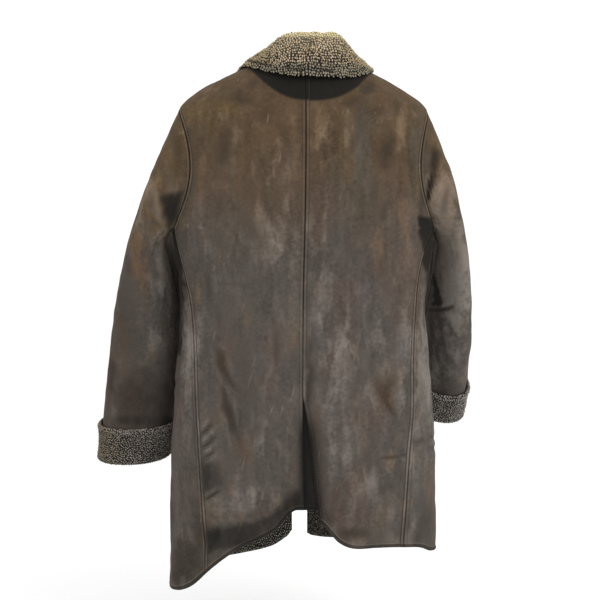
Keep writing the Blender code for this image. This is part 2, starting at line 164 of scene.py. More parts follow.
# The hem's height round each half; the left side hangs lower, and both vent corners are rounded up.
HEM = Table(
    "turn left right",
    (0.0, -0.790, -0.803),
    (2.5, -0.792, -0.813),
    (4.5, -0.802, -0.826),
    (8.0, -0.825, -0.847),
    (14.0, -0.842, -0.860),
    (24.0, -0.864, -0.863),
    (39.0, -0.900, -0.865),
    (52.0, -0.930, -0.868),
    (66.0, -0.945, -0.881),
    (90.0, -0.950, -0.888),
    (130.0, -0.938, -0.893),
    (160.0, -0.921, -0.896),
    (172.0, -0.911, -0.896),
    (177.2, -0.893, -0.892),
    (178.4, -0.882, -0.888),
)

# Soft folds of the lower body: each swells or sinks the surface round one turn, from nothing at its top.
Fold = namedtuple("Fold", "side turn spread top swell")
FOLDS = (
    Fold(1, 26.0, 13.0, -0.520, -0.010),
    Fold(1, 48.0, 12.0, -0.480, 0.009),
    Fold(1, 138.0, 12.0, -0.500, 0.007),
    Fold(1, 160.0, 9.0, -0.520, -0.006),
    Fold(-1, 9.0, 8.0, -0.560, 0.010),
    Fold(-1, 30.0, 12.0, -0.540, -0.006),
    Fold(-1, 52.0, 12.0, -0.500, 0.008),
    Fold(-1, 140.0, 12.0, -0.500, 0.007),
    Fold(-1, 160.0, 9.0, -0.520, -0.005),
)
FOLD_LENGTH = 0.30

# Sleeve sections below the armhole: their outer and inner edges, the place and half of their front-to-back
# size, the angle by which the arm swings forward there, and how far the section is twisted.
SLEEVE_COLUMNS = "place outer_x outer_z inner_x inner_z centre_y half_depth swing twist"
SLEEVES = {
    1: Table(
        SLEEVE_COLUMNS,
        (0, 0.242, -0.128, 0.245, -0.318, 0.000, 0.082, 0.0, 2.0),
        (1, 0.259, -0.178, 0.248, -0.328, -0.003, 0.084, 0.0, 7.0),
        (2, 0.279, -0.240, 0.247, -0.341, -0.008, 0.085, 0.0, 13.0),
        (3, 0.298, -0.305, 0.242, -0.360, -0.014, 0.084, 2.0, 18.0),
        (4, 0.315, -0.370, 0.236, -0.390, -0.021, 0.081, 4.0, 21.0),
        (5, 0.331, -0.440, 0.228, -0.436, -0.029, 0.077, 6.0, 21.0),
        (6, 0.347, -0.525, 0.228, -0.510, -0.040, 0.071, 8.0, 19.0),
        (7, 0.358, -0.596, 0.231, -0.588, -0.051, 0.066, 9.0, 17.0),
        (8, 0.365, -0.654, 0.240, -0.655, -0.060, 0.062, 9.0, 15.0),
        (9, 0.371, -0.717, 0.250, -0.717, -0.070, 0.058, 9.0, 13.0),
    ),
    -1: Table(
        SLEEVE_COLUMNS,
        (0, 0.239, -0.128, 0.245, -0.318, 0.000, 0.082, 0.0, 2.0),
        (1, 0.254, -0.178, 0.248, -0.328, -0.004, 0.084, 0.0, 5.0),
        (2, 0.268, -0.238, 0.249, -0.341, -0.010, 0.085, 2.0, 9.0),
        (3, 0.281, -0.303, 0.247, -0.359, -0.019, 0.084, 6.0, 13.0),
        (4, 0.293, -0.368, 0.244, -0.388, -0.032, 0.081, 12.0, 15.0),
        (5, 0.305, -0.436, 0.240, -0.430, -0.052, 0.077, 19.0, 15.0),
        (6, 0.315, -0.502, 0.234, -0.488, -0.082, 0.071, 26.0, 13.0),
        (7, 0.320, -0.553, 0.229, -0.541, -0.112, 0.066, 31.0, 11.0),
        (8, 0.322, -0.595, 0.226, -0.587, -0.140, 0.062, 33.0, 9.0),
        (9, 0.322, -0.643, 0.224, -0.635, -0.172, 0.058, 33.0, 9.0),
    ),
}
SLEEVE_SQUARENESS = 2.2
SLEEVE_END = 9.0
SLEEVE_PLACES = (0.0, 1.0, 2.0, 3.0, 4.0, 5.0, 6.0, 7.0, 7.85, 8.2, 8.6, SLEEVE_END)
CUFF_STARTS = {1: 8.02, -1: 7.85}
CUFF_DROP = 0.006
CAP_EASE = 0.6

# The collar round the neck: how far its roll stands above the neck seam, the roll's radius, and the level
# and stand-off of the falling edge over the body.
COLLAR = Table(
    "turn rise radius edge_level stand_off",
    (0.0, 0.0520, 0.0090, -0.026, 0.011),
    (15.0, 0.0498, 0.0090, -0.025, 0.011),
    (30.0, 0.044, 0.0080, -0.023, 0.010),
    (45.0, 0.030, 0.0070, -0.020, 0.009),
    (60.0, 0.019, 0.0060, -0.018, 0.008),
    (90.0, 0.012, 0.0055, -0.016, 0.007),
    (120.0, 0.012, 0.0055, -0.032, 0.007),
    (145.0, 0.013, 0.0055, -0.060, 0.008),
    (170.0, 0.014, 0.0055, -0.085, 0.008),
)

# The collar sits a little askew: its high part reaches further to the right, and its edge falls lower
# there. The tilt fades in and out over these turns, where the edge is also pulled closer to the body.
COLLAR_WARP = {1: ((0.0, 22.0, 50.0, 180.0), (0.0, 15.0, 49.0, 180.0)),
               -1: ((0.0, 34.0, 71.0, 180.0), (0.0, 17.0, 64.0, 180.0))}
COLLAR_TILT = {1: 0.002, -1: -0.007}
TILT_IN = 40.0
TILT_OUT = 80.0
COLLAR_WALL = 0.006
COLLAR_GAP = 0.0010
COLLAR_LEAN = -0.006
SIDE_PULL = 0.45
ROLL_END = 25.0
ROLL_POINTS = 9
FALL_POINTS = 8
STAND_SHARES = (0.0, 0.25, 0.5, 0.75)
FALL_PULL = 0.3
FALL_BULGE = (0.08, 0.05)

# The centre-back seam strays to the left lower down, and from the vent's top the right back flares away.
CENTRE = Table(
    "height shift flare",
    (-0.850, 0.0065, 0.0300),
    (-0.800, 0.0067, 0.0262),
    (-0.757, 0.0070, 0.0212),
    (-0.719, 0.0076, 0.0175),
    (-0.688, 0.0080, 0.0143),
    (-0.640, 0.0084, 0.0085),
    (-0.612, 0.0084, 0.0040),
    (-0.590, 0.0084, 0.0000),
    (-0.430, 0.0074, 0.0000),
    (-0.250, 0.0040, 0.0000),
    (-0.050, 0.0018, 0.0000),
)

# The strip behind the vent: its place under the right back's flared edge and behind the left back, its
# lines of points, and its shade.
UNDERLAP_TOP = -0.660
UNDERLAP_BOTTOM = -0.938
UNDERLAP_LEFT = 0.026
UNDERLAP_RIGHT_SHARE = 0.18
UNDERLAP_SINK = 0.003
UNDERLAP_LINES = 9
UNDERLAP_POINTS = 5
UNDERLAP_SHADE = 0.85
UNDERLAP_STEPS = ((0.25, 0.5), (0.5, 1.0), (0.75, 1.0), (1.0, 1.0))

# Distances from an edge at which a grid has its first rows or columns, and its spacing further in.
EDGE_STEPS = (0.0, 0.0005, 0.0011, 0.0019, 0.0030, 0.0042, 0.0051, 0.0057, 0.0063, 0.0069, 0.0078, 0.0095)
CLOTH_STEP = 0.0055
TURN_SAMPLES = 241
LEVEL_SAMPLES = 1201
ROW_TURN = 60.0
TURN_STEP = 0.2
LEVEL_STEP = 0.0005
TINY = 1e-9

# Unevenness is a sum of waves, whose rates differ this much.
WAVES = 24
WAVE_RATES = (0.6, 1.5)

# How an edge is rounded (the reach of its curve over the cloth), and the topstitch beside it.
SEAM_REACH = 0.0015
HEM_REACH = 0.0030
STITCH_AWAY = 0.0063

# How far from the armhole's edge the wall's ends are turned.
CUT_REACH = 0.006


def unit(vectors):
    return vectors / np.maximum(np.linalg.norm(vectors, axis=-1, keepdims=True), TINY)


def along_way(vectors, way):
    """The size of vectors along a way, with an axis of one kept."""
    return np.sum(vectors * way, axis=-1, keepdims=True)


def powered(value, power):
    return np.sign(value) * np.abs(value) ** power


def ease(value, start=0.0, reach=1.0):
    """A soft step from 0 at the start to 1 past a reach, which is negative towards smaller values."""
    value = np.clip((value - start) / reach, 0.0, 1.0)
    return value * value * (3.0 - 2.0 * value)


def bell(value, middle, width):
    """1 at the middle, falling softly to 0 on both sides."""
    return np.exp(-(((value - middle) / width) ** 2))


def least(*values):
    return functools.reduce(np.minimum, values)


def run(points, axis=0):
    """Each point's distance from the start of its line of points."""
    steps = np.linalg.norm(np.diff(points, axis=axis), axis=-1)
    start = np.zeros_like(np.take(steps, [0], axis=axis))
    return np.concatenate([start, np.cumsum(steps, axis=axis)], axis=axis)


def distance(points, line):
    """Each point's distance from a line of points."""
    nearest = np.full(points.shape[:-1], np.inf)
    for start, end in zip(line[:-1], line[1:]):
        way = end - start
        share = np.clip((points - start) @ way / max(way @ way, TINY), 0.0, 1.0)
        gap = np.linalg.norm(points - start - share[..., None] * way, axis=-1)
        nearest = np.minimum(nearest, gap)
    return nearest


def ripple(points, size, seed):
    """Smooth unevenness of about -1 to 1, in swells of about this size."""
    random = np.random.default_rng(seed)
    ways = unit(random.normal(size=(WAVES, 3))) * random.uniform(*WAVE_RATES, (WAVES, 1))
    phases = random.uniform(0.0, 2.0 * np.pi, WAVES)
    return np.sin(points @ ways.T * (2.0 * np.pi / size) + phases).sum(-1) / math.sqrt(WAVES)


# The body's surface.


def swell(side, turn, height):
    total = 0.0
    for fold in FOLDS:
        if fold.side == side:
            near = bell(turn, fold.turn, fold.spread)
            total = total + fold.swell * near * ease(height, fold.top, -FOLD_LENGTH)
    return total


def section_point(side, height, turn):
    """Points of the body's outer face in the horizontal sections at these heights."""
    angle = np.radians(turn)
    power = 2.0 / SECTIONS.at(height, "squareness")
    across = SECTIONS.at(height, "half_width") * powered(np.sin(angle), power)
    behind = turn < 90.0
    depth = np.where(behind, SECTIONS.at(height, "back"), SECTIONS.at(height, "front"))
    depth = depth + swell(side, turn, height)
    drop = np.where(behind, SECTIONS.at(height, "back_drop"), SECTIONS.at(height, "front_drop"))
    rise = height - drop * np.cos(angle) ** 2
    return np.stack([side * across, depth * powered(np.cos(angle), power), rise], axis=-1)


def body_point(side, level, turn):
    """Points of the body's outer face. Levels below the underarm are stretched to reach the hem."""
    level, turn = np.broadcast_arrays(level, turn)
    share = np.clip((UNDERARM - level) / (UNDERARM - LOWEST), 0.0, None)
    bottom = HEM.at(turn, "left" if side > 0 else "right")
    stretched = UNDERARM + (bottom - UNDERARM) * share
    return section_point(side, np.where(level >= UNDERARM, level, stretched), turn)


def body_normal(side, level, turn):
    high = np.minimum(turn + TURN_STEP, 180.0)
    round_way = body_point(side, level, high) - body_point(side, level, turn - TURN_STEP)
    above = body_point(side, np.minimum(level + LEVEL_STEP, 0.0), turn)
    up_way = above - body_point(side, level - LEVEL_STEP, turn)
    return unit(np.cross(up_way, round_way) * side)


def edge_turn(level, gap):
    """The turn, near the centre front, at which the body is this far from the centre plane."""
    share = gap / SECTIONS.at(level, "half_width")
    return 180.0 - np.degrees(np.arcsin(share ** (SECTIONS.at(level, "squareness") / 2.0)))


def centre_turn(side, level):
    """The turn of the back's centre edge: the seam, and below it the right back's flare."""
    height = body_point(side, level, 0.0)[..., 2]
    across = CENTRE.at(height, "shift") * side
    if side < 0:
        across = across + CENTRE.at(height, "flare")
    return (180.0 - edge_turn(level, np.abs(across))) * np.sign(across)


def seam_turns(side, level):
    return SEAMS[side].at(level, "back_seam"), SEAMS[side].at(level, "front_seam")


def armhole_width(share):
    return np.clip(1.0 - (2.0 * share - 1.0) ** 2, 0.0, None) ** ARMHOLE_POWER


def armhole_turns(level):
    """The turns of the armhole's back and front edges at a level."""
    rise = np.clip((level - UNDERARM) / (ARMHOLE_TOP - UNDERARM), 0.0, 1.0)
    wide = armhole_width(ARMHOLE_START + (1.0 - ARMHOLE_START) * rise) / armhole_width(ARMHOLE_START)
    first, last = seam_turns(1, UNDERARM)
    return 90.0 - (90.0 - first) * wide, 90.0 + (last - 90.0) * wide


def outer_turns(side, level):
    """The turns at which the back and the front end, away from the centre."""
    ends = []
    for seam, hole in zip(seam_turns(side, level), armhole_turns(level)):
        ends.append(np.where(level < UNDERARM, seam, np.where(level < ARMHOLE_TOP, hole, 90.0)))
    return ends


# The armhole as a loop of points, with the way in which the cloth's end is cut at each of them.
Loop = namedtuple("Loop", "points normals cuts aways")
LOOP_SAMPLES = 160
LOOP_COLUMNS = 100


def armhole(side, count):
    """The armhole's loop from under the arm up the front, over the top and down the back."""
    first, last = seam_turns(side, UNDERARM)
    up = UNDERARM + (ARMHOLE_TOP - UNDERARM) * np.sin(np.linspace(0.0, np.pi / 2.0, LOOP_SAMPLES))
    back_turns, front_turns = armhole_turns(up)
    half = np.linspace(90.0, last, LOOP_SAMPLES // 4)[:-1]
    level = np.concatenate([np.full_like(half, UNDERARM), up, up[-2::-1], np.full_like(half, UNDERARM)])
    turn = np.concatenate([half, front_turns, back_turns[-2::-1], 180.0 - half[::-1]])
    along = run(body_point(side, level, turn))
    places = across_places(along[-1:], count)[0]
    level = np.interp(places, along, level)
    turn = np.interp(places, along, turn)
    points = body_point(side, level, turn)
    normals = body_normal(side, level, turn)
    around = np.roll(points[:-1], -1, axis=0) - np.roll(points[:-1], 1, axis=0)
    around = -unit(np.concatenate([around, around[:1]]))
    into_arm = unit(np.cross(around, normals)) * side
    beside = np.minimum(np.abs(turn - 90.0) / (90.0 - first), 1.0)
    under = ease(level, BEND_TOP, UNDERARM - BEND_TOP) * (1.0 - CORNER_RELIEF * beside)
    bend = np.radians(ARMHOLE_BEND + (UNDERARM_BEND - ARMHOLE_BEND) * under)[:, None]
    cuts = unit(normals * np.cos(bend) - into_arm * np.sin(bend))
    return Loop(points, normals, cuts, unit(np.cross(around, cuts)) * side)


# Grids of cloth.


def across_places(lengths, middle):
    """Distances across cloth of these lengths: close together near both edges, even between them."""
    edge = np.array(EDGE_STEPS)
    left = np.broadcast_to(edge, (len(lengths), len(edge)))
    right = lengths[:, None] - left[:, ::-1]
    inside = (lengths[:, None] - 2.0 * edge[-1]) * (np.arange(1, middle) / middle)
    return np.concatenate([left, edge[-1] + inside, right], axis=1)


def grid_cross(points):
    return np.cross(np.gradient(points, axis=1), np.gradient(points, axis=0))


def grid_normals(points, outward):
    """Normals of a grid's points, on the side that the outward directions show."""
    normals = unit(grid_cross(points))
    return normals * np.sign(np.sum(normals * outward))


def shaped_grid(points, step):
    """A grid resampled up its columns on smooth curves, close together at both ends."""
    lengths = run(points)[-1]
    places = across_places(lengths, round(lengths.mean() / step))
    columns = zip(points.swapaxes(0, 1), places)
    return np.stack([curve(run(column), column, wanted) for column, wanted in columns], axis=1)


class Cloth:
    """A wall of cloth on a grid: its outer face, its distances from its edges, and its reliefs."""

    def __init__(self, name, points, outward, wall):
        self.name = name
        self.points = points
        self.wall = wall
        self.normals = grid_normals(points, outward)
        self.facing = self.normals.copy()
        self.rise = np.zeros(points.shape[:2])
        across = run(points, axis=1)
        upward = run(points, axis=0)
        self.first = across
        self.last = across[:, -1:] - across
        self.low = upward
        self.high = upward[-1:] - upward
        self.attributes = {}

    def face_cut(self, line, cuts):
        """Turns the wall's depth towards the cuts of the nearest points of a line."""
        near = distance(self.points, line) < 4.0 * CUT_REACH
        spots = self.points[near]
        gaps = np.linalg.norm(spots[:, None] - line[None], axis=-1)
        nearest = np.argmin(gaps, axis=1)
        share = bell(np.min(gaps, axis=1), 0.0, CUT_REACH)[:, None]
        self.facing[near] = unit(self.facing[near] * (1.0 - share) + cuts[nearest] * share)

    def inset(self):
        """How far each face draws in towards the wall's middle, all the way at the edges."""
        half = self.wall / 2.0
        total = np.zeros_like(self.rise)
        for gap, reach in ((self.seam_gap(), SEAM_REACH), (self.hem_gap(), HEM_REACH)):
            share = np.clip(1.0 - gap / reach, 0.0, 1.0)
            total = np.maximum(total, half * (1.0 - np.sqrt(1.0 - share**2)))
        return total

    def seam_gap(self):
        return self.attributes["seam"]

    def hem_gap(self):
        return self.attributes["hem"]

    def layer(self, depth):
        return self.points + self.normals * self.rise[..., None] - self.facing * depth[..., None]

    def outer(self):
        return self.layer(self.inset())

    def inner(self):
        return self.layer(self.wall - self.inset())

    def made(self, outside, inside):
        """The closed wall as an object, with its own finish on each face."""
        mesh = bmesh.new()
        layers = {name: mesh.verts.layers.float.new(name) for name in self.attributes}
        rows, columns = self.rise.shape
        turned = np.sum(grid_cross(self.points) * self.normals) < 0.0
        for face_points, inner_face in ((self.outer(), False), (self.inner(), True)):
            before = len(mesh.faces)
            made = bmesh.ops.create_grid(mesh, x_segments=columns - 1, y_segments=rows - 1, size=1.0)
            for vert in made["verts"]:
                column = round((vert.co.x + 1.0) / 2.0 * (columns - 1))
                row = round((vert.co.y + 1.0) / 2.0 * (rows - 1))
                vert.co = face_points[row, column]
                for name, layer in layers.items():
                    vert[layer] = self.attributes[name][row, column]
            mesh.faces.ensure_lookup_table()
            faces = mesh.faces[before:]
            for face in faces:
                face.material_index = int(inner_face)
                face.smooth = True
            if bool(turned) != inner_face:
                bmesh.ops.reverse_faces(mesh, faces=faces)
        rims = [vert for vert in mesh.verts if vert.is_boundary]
        bmesh.ops.remove_doubles(mesh, verts=rims, dist=RIM_MERGE)
        return finished(self.name + "_cloth", mesh, outside, inside)


def placed(name, data):
    """A new object in the scene."""
    made = bpy.data.objects.new(name, data)
    bpy.context.scene.collection.objects.link(made)
    return made


def finished(name, mesh, *finishes):
    """An object from a bmesh, with its finishes."""
    data = bpy.data.meshes.new(name)
    mesh.to_mesh(data)
    mesh.free()
    for finish in finishes:
        data.materials.append(finish)
    return placed(name, data)


# Creases by piece and by the side they are seen from, in millimetres: the two points they run between, a
# bow that bends them sideways, a width, and a depth, negative for a trough. Points are across and up:
# across is along X seen from the back or the front, and along Y seen from a side.
VIEWS = {"back": (0, (0.0, 1.0, 0.0)), "front": (0, (0.0, -1.0, 0.0)),
         "left": (1, (1.0, 0.0, 0.0)), "right": (1, (-1.0, 0.0, 0.0))}
CREASES = {
    ("back_left", "back"): (
        (215, -396, 20, -392, 4, 4, -0.7), (160, -500, 112, -600, 6, 6, -1.6),
        (150, -580, 118, -690, -5, 7, -1.4), (190, -665, 163, -636, 2, 4, -1.6),
        (188, -688, 158, -660, 2, 4, -1.8), (187, -708, 160, -684, 2, 4, -1.6),
        (186, -728, 166, -710, 2, 4, -1.4), (187, -776, 150, -756, 3, 3.8, -1.8),
        (90, -250, 30, -330, 8, 14, 1.6),
    ),
    ("back_right", "back"): (
        (-66, -426, -73, -486, 2, 4, 1), (-78, -430, -71, -488, -2, 4, 1),
        (-125, -702, -190, -696, 3, 4, -1.4), (-36, -190, -27, -358, 2, 6, 0.8),
        (-120, -560, -165, -640, 6, 9, -1.4), (-118, -128, -97, -86, 3, 4, -1),
    ),
    ("side_right", "right"): (
        (70, -668, -20, -688, 4, 5, -1.6), (70, -690, 0, -700, 4, 5, -1.2),
    ),
    ("side_left", "left"): (
        (60, -560, -40, -590, 5, 6, -1.2),
    ),
    ("sleeve_right", "back"): (
        (-227, -198, -214, -264, 3, 4.5, -3.4), (-238, -215, -224, -278, 3, 8, 2.2),
        (-232, -452, -275, -442, 4, 5, -2.6), (-236, -380, -272, -352, 4, 6, -0.7),
        (-245, -520, -300, -500, 4, 7, -0.7),
    ),
    ("sleeve_left", "back"): (
        (262, -480, 330, -500, 6, 8, -0.9), (262, -420, 310, -440, 6, 8, -0.7),
        (275, -570, 345, -556, 6, 8, -0.9),
    ),
    ("sleeve_left", "front"): (
        (262, -470, 330, -500, 6, 8, -1.6),
    ),
    ("sleeve_right", "front"): (
        (-240, -430, -300, -440, 6, 8, -1.6),
    ),
    ("front_left", "front"): (
        (180, -420, 100, -400, 6, 8, -1.4), (160, -560, 120, -700, 6, 9, -1.4),
    ),
    ("front_right", "front"): (
        (-180, -410, -100, -400, 6, 8, -1.4), (-160, -560, -120, -690, 6, 9, -1.4),
    ),
}

# Patches of tone on the suede, by piece and tone, as they are seen on the plane of the back: partly its own
# mottling, partly painted shade and painted light, such as the shadow patches, the dark ones under the arms
# and the light ones on the right sleeve. Each has x and z, half sizes (all in millimetres), a strength, and
# a lean in degrees towards -x.
TONES = ("dark", "warm", "gold", "light", "grey", "shadow")
BACK_PLANE = 0.110
PATCH_REACH = (0.022, 0.045)
PATCH_RAGGED = 0.20
PATCH_SWELLS = (0.040, 0.018)
PATCH_SEED = 200
Patch = namedtuple("Patch", "x z half_width half_height strength lean", defaults=(0.0,))
PATCHES = {
    ("back", "dark"): (
        (140, -165, 22, 52, 0.65), (111, -78, 26, 16, 0.7, 20), (70, -105, 18, 30, 0.5),
        (206, -160, 12, 44, 0.6), (203, -225, 14, 30, 0.4), (100, -225, 16, 50, 0.35, 5),
        (40, -180, 18, 30, 0.3), (-92, -95, 14, 50, 0.5), (-140, -163, 19, 36, 0.85),
        (-134, -272, 12, 28, 0.5), (-200, -265, 7, 50, 0.6), (-75, -85, 30, 12, 0.6, -15),
        (-120, -100, 20, 12, 0.5), (-103, -60, 16, 16, 0.8), (94, -56, 16, 14, 0.6),
        (150, -330, 16, 70, 0.3), (-73, -484, 5, 8, 0.6), (120, -590, 50, 160, 0.42),
        (147, -540, 12, 48, 0.8, -10), (136, -619, 10, 55, 1, -12), (117, -629, 7, 40, 0.6, -12),
        (92, -655, 10, 32, 0.55), (18, -660, 12, 110, 0.45), (-4, -560, 9, 75, 0.8),
        (-30, -800, 22, 34, 0.8, -30), (-78, -834, 36, 14, 0.8), (24, -772, 24, 28, 0.9),
        (178, -732, 18, 28, 0.7, -10), (178, -850, 20, 50, 0.7), (-139, -580, 12, 34, 0.7, 10),
        (-85, -626, 5, 18, 0.5), (-104, -698, 6, 13, 0.5), (-144, -750, 13, 14, 0.5),
        (-188, -770, 20, 90, 0.4), (-186, -815, 14, 40, 0.5), (127, -136, 11, 20, 0.5),
        (-151, -88, 14, 22, 0.5), (-45, -800, 10, 40, 0.6), (160, -798, 22, 10, 0.5),
        (-172, -835, 20, 20, 0.6),
    ),
    ("back", "warm"): (
        (87, -63, 24, 10, 0.6, 10), (178, -192, 12, 60, 0.6), (46, -120, 34, 40, 0.5, 12),
        (-165, -250, 14, 130, 0.6), (-122, -339, 22, 85, 0.5), (116, -788, 60, 24, 0.4, -15),
        (-139, -585, 21, 47, 0.7), (-17, -626, 6, 24, 0.4), (-122, -810, 34, 24, 0.4),
    ),
    ("back", "gold"): (
        (185, -106, 42, 22, 0.9, 20), (142, -94, 28, 14, 0.9, 10), (-165, -130, 14, 30, 0.5),
        (189, -405, 7, 34, 0.5),
    ),
    ("back", "light"): (
        (150, -112, 22, 10, 0.4), (59, -197, 4, 56, 0.6, 19), (184, -299, 4, 7, 0.8),
        (-36, -150, 24, 50, 0.5), (-164, -140, 12, 34, 0.6), (51, -325, 40, 46, 0.5),
        (-31, -273, 3, 82, 0.5, 3), (0, -325, 30, 50, 0.5), (196, -480, 16, 50, 0.4),
        (-70, -457, 6, 32, 0.7, 3), (-56, -530, 30, 110, 0.46), (-118, -480, 30, 50, 0.3),
        (-180, -500, 20, 60, 0.4), (127, -607, 3, 42, 0.6, -10), (70, -560, 12, 45, 0.3),
        (-42, -685, 12, 60, 0.4), (-22, -465, 18, 40, 0.4), (190, -500, 14, 50, 0.55),
        (112, -776, 50, 26, 0.55, -15), (-166, -600, 10, 50, 0.4), (-112, -745, 24, 34, 0.5),
        (-196, -580, 12, 110, 0.4), (8, -322, 34, 50, 0.4), (-37, -150, 12, 50, 0.35),
        (30, -660, 10, 34, 0.4),
    ),
    ("back", "grey"): (
        (-100, -160, 22, 80, 0.7), (-184, -175, 8, 62, 0.6), (100, -330, 16, 60, 0.5),
        (-56, -313, 20, 55, 0.6), (142, -443, 10, 36, 0.6), (-146, -688, 18, 12, 0.6, 5),
    ),
    ("back", "shadow"): (
        (-1, -590, 5, 60, 0.45, 2),
    ),
    ("side", "dark"): (
        (242, -780, 10, 130, 1), (214, -880, 40, 46, 1), (190, -830, 16, 70, 0.8),
        (-207, -515, 4, 10, 0.6), (-198, -672, 16, 8, 0.6, -10), (-208, -820, 22, 60, 0.5),
        (-200, -840, 20, 16, 0.5),
    ),
    ("side", "light"): (
        (206, -500, 12, 80, 0.8), (-209, -540, 18, 110, 0.8),
    ),
    ("side", "grey"): (
        (-208, -790, 22, 80, 0.9),
    ),
    ("side", "shadow"): (
        (222, -390, 14, 120, 1), (222, -905, 30, 26, 0.4), (-214, -395, 10, 40, 0.9),
    ),
    ("sleeve", "dark"): (
        (224, -166, 14, 46, 0.7, -10), (344, -520, 14, 140, 0.9, -8), (316, -460, 40, 120, 0.55, -8),
        (292, -595, 70, 60, 0.9), (-221, -184, 10, 30, 1), (-240, -590, 30, 30, 0.5),
        (205, -266, 16, 24, 0.4), (262, -398, 10, 30, 0.4),
    ),
    ("sleeve", "warm"): (
        (286, -370, 18, 70, 0.8, -8), (318, -500, 16, 90, 0.5, -6),
    ),
    ("sleeve", "gold"): (
        (224, -150, 30, 60, 0.7, -10), (268, -240, 16, 100, 1.2, -14), (294, -340, 12, 60, 0.7, -10),
        (-235, -165, 22, 45, 0.7, 12), (-230, -262, 18, 44, 1.3, 12),
    ),
    ("sleeve", "light"): (
        (270, -228, 10, 66, 1, -14), (250, -360, 14, 56, 1.1), (264, -490, 20, 44, 0.4),
        (237, -391, 4, 120, 0.6), (-222, -560, 10, 70, 0.9), (-235, -326, 15, 56, 1.6, 3),
        (-228, -480, 10, 30, 0.8), (-213, -213, 4, 7, 0.6), (-238, -250, 20, 55, 1.2, 12),
        (-252, -310, 26, 50, 1.3, 8), (-256, -390, 30, 85, 1.3, 4), (-245, -510, 32, 60, 0.5),
    ),
    ("sleeve", "grey"): (
        (258, -430, 22, 120, 0.8), (-206, -184, 8, 36, 0.6), (-250, -530, 34, 70, 0.8),
    ),
    ("sleeve", "shadow"): (
        (222, -340, 7, 80, 0.9, -3), (290, -632, 80, 14, 0.55), (-212, -232, 3.5, 36, 0.8, 11),
        (-221, -184, 8, 26, 0.45), (-216, -345, 4, 70, 0.6, 3),
    ),
}

# Shapes of shadow with firmer edges: the corners in order round them and how soft their edges are, in
# millimetres, and a strength.
ZONE_SWELL = 0.012
ZONE_RAGGED = 0.0012
ZONE_SEED = 203
Zone = namedtuple("Zone", "piece corners soft strength")
ZONES = (
    # Below the left armhole, and the side panel behind the left sleeve.
    Zone("sleeve_left", ((256, -244), (211, -236), (218, -275), (238, -312)), 18, 0.74),
    Zone("side_left", ((246, -300), (212, -300), (215, -420), (214, -520), (246, -520)), 6, 1),
    # The opening below the right armhole, and the pocket above the elbow.
    Zone("back_right", ((-193, -278), (-193, -314), (-203, -350), (-225, -370), (-225, -288)), 8, 0.85),
    Zone("side_right", ((-180, -290), (-190, -345), (-216, -400), (-230, -290)), 16, 0.85),
    Zone("sleeve_right", ((-218.5, -372), (-218.5, -438), (-239, -437)), 6, 0.8),
    # The dark band above the left hem, and the hollow beside the seam.
    Zone("back_left", ((182, -824), (78, -805), (70, -850), (176, -868)), 22, 0.66),
    Zone("back_left", ((84, -810), (6, -748), (0, -790), (78, -852)), 22, 0.66),
    Zone("back_left", ((194, -694), (152, -708), (140, -750), (190, -768)), 30, 0.5),
)

# Random strokes of tone over the whole coat: one for each of these areas, their tones and half sizes.
STROKE_AREA = 0.0011
STROKE_TONES = (("dark", 0.34), ("warm", 0.20), ("gold", 0.10), ("light", 0.22), ("grey", 0.14))
STROKE_WIDTHS = (0.003, 0.013)
STROKE_LENGTHS = (0.012, 0.050)
STROKE_STRENGTHS = (0.20, 0.55)
STROKE_SLANT = 0.15

# Placed tones fade out where a piece turns away from the camera: how sharply, and what is left edge on.
FACING_SHARP = 6.0
FACING_LEFT = 0.3


def seen(points):
    """Where points show on the plane of the back, seen from the camera."""
    eye = np.array(CAMERA_PLACE)
    share = (eye[1] - BACK_PLANE) / (eye[1] - points[..., 1:2])
    return (eye + (points - eye) * share)[..., (0, 2)]


def facing_camera(cloth):
    """1 where a piece faces the camera, falling to 0 round its sides."""
    to_eye = unit(np.array(CAMERA_PLACE) - cloth.points)
    return np.clip(FACING_SHARP * np.sum(cloth.normals * to_eye, axis=-1) + FACING_LEFT, 0.0, 1.0)


def patch_tones(cloth):
    """Adds the placed patches to a piece's tones, with uneven edges."""
    spots = seen(cloth.points)
    broad, fine = (PATCH_RAGGED * ripple(cloth.points, size, PATCH_SEED) for size in PATCH_SWELLS)
    uneven = np.stack([broad + 0.5 * fine, 0.6 * fine - broad], axis=-1)
    shown = facing_camera(cloth)
    for (piece, tone), rows in PATCHES.items():
        if not cloth.name.startswith(piece):
            continue
        for patch in (Patch(*row) for row in rows):
            place, size = np.array(patch[:4]).reshape(2, 2) / MILLIMETRES
            lean = math.radians(patch.lean)
            x, z = np.moveaxis(spots + uneven * np.minimum(size, PATCH_REACH) - place, -1, 0)
            across = x * math.cos(lean) + z * math.sin(lean)
            upward = z * math.cos(lean) - x * math.sin(lean)
            away = (across / size[0]) ** 2 + (upward / size[1]) ** 2
            deepen(cloth, tone, patch.strength * np.exp(-away) * shown)


def zone_tones(cloth):
    """Adds the zones to a piece's shadow."""
    ragged = ZONE_RAGGED * ripple(cloth.points, ZONE_SWELL, ZONE_SEED)
    spots = seen(cloth.points) + ragged[..., None]
    shown = facing_camera(cloth)
    for zone in ZONES:
        if cloth.name != zone.piece:
            continue
        corners = np.array(zone.corners) / MILLIMETRES
        middle = corners.mean(axis=0)
        deep = np.full(cloth.rise.shape, np.inf)
        for start, end in zip(corners, np.roll(corners, -1, axis=0)):
            inward = unit(np.array((start[1] - end[1], end[0] - start[0])))
            inward = inward * np.sign((middle - start) @ inward)
            deep = np.minimum(deep, (spots - start) @ inward)
        soft = zone.soft / MILLIMETRES
        deepen(cloth, "shadow", zone.strength * ease(deep / soft + 0.5) * shown)


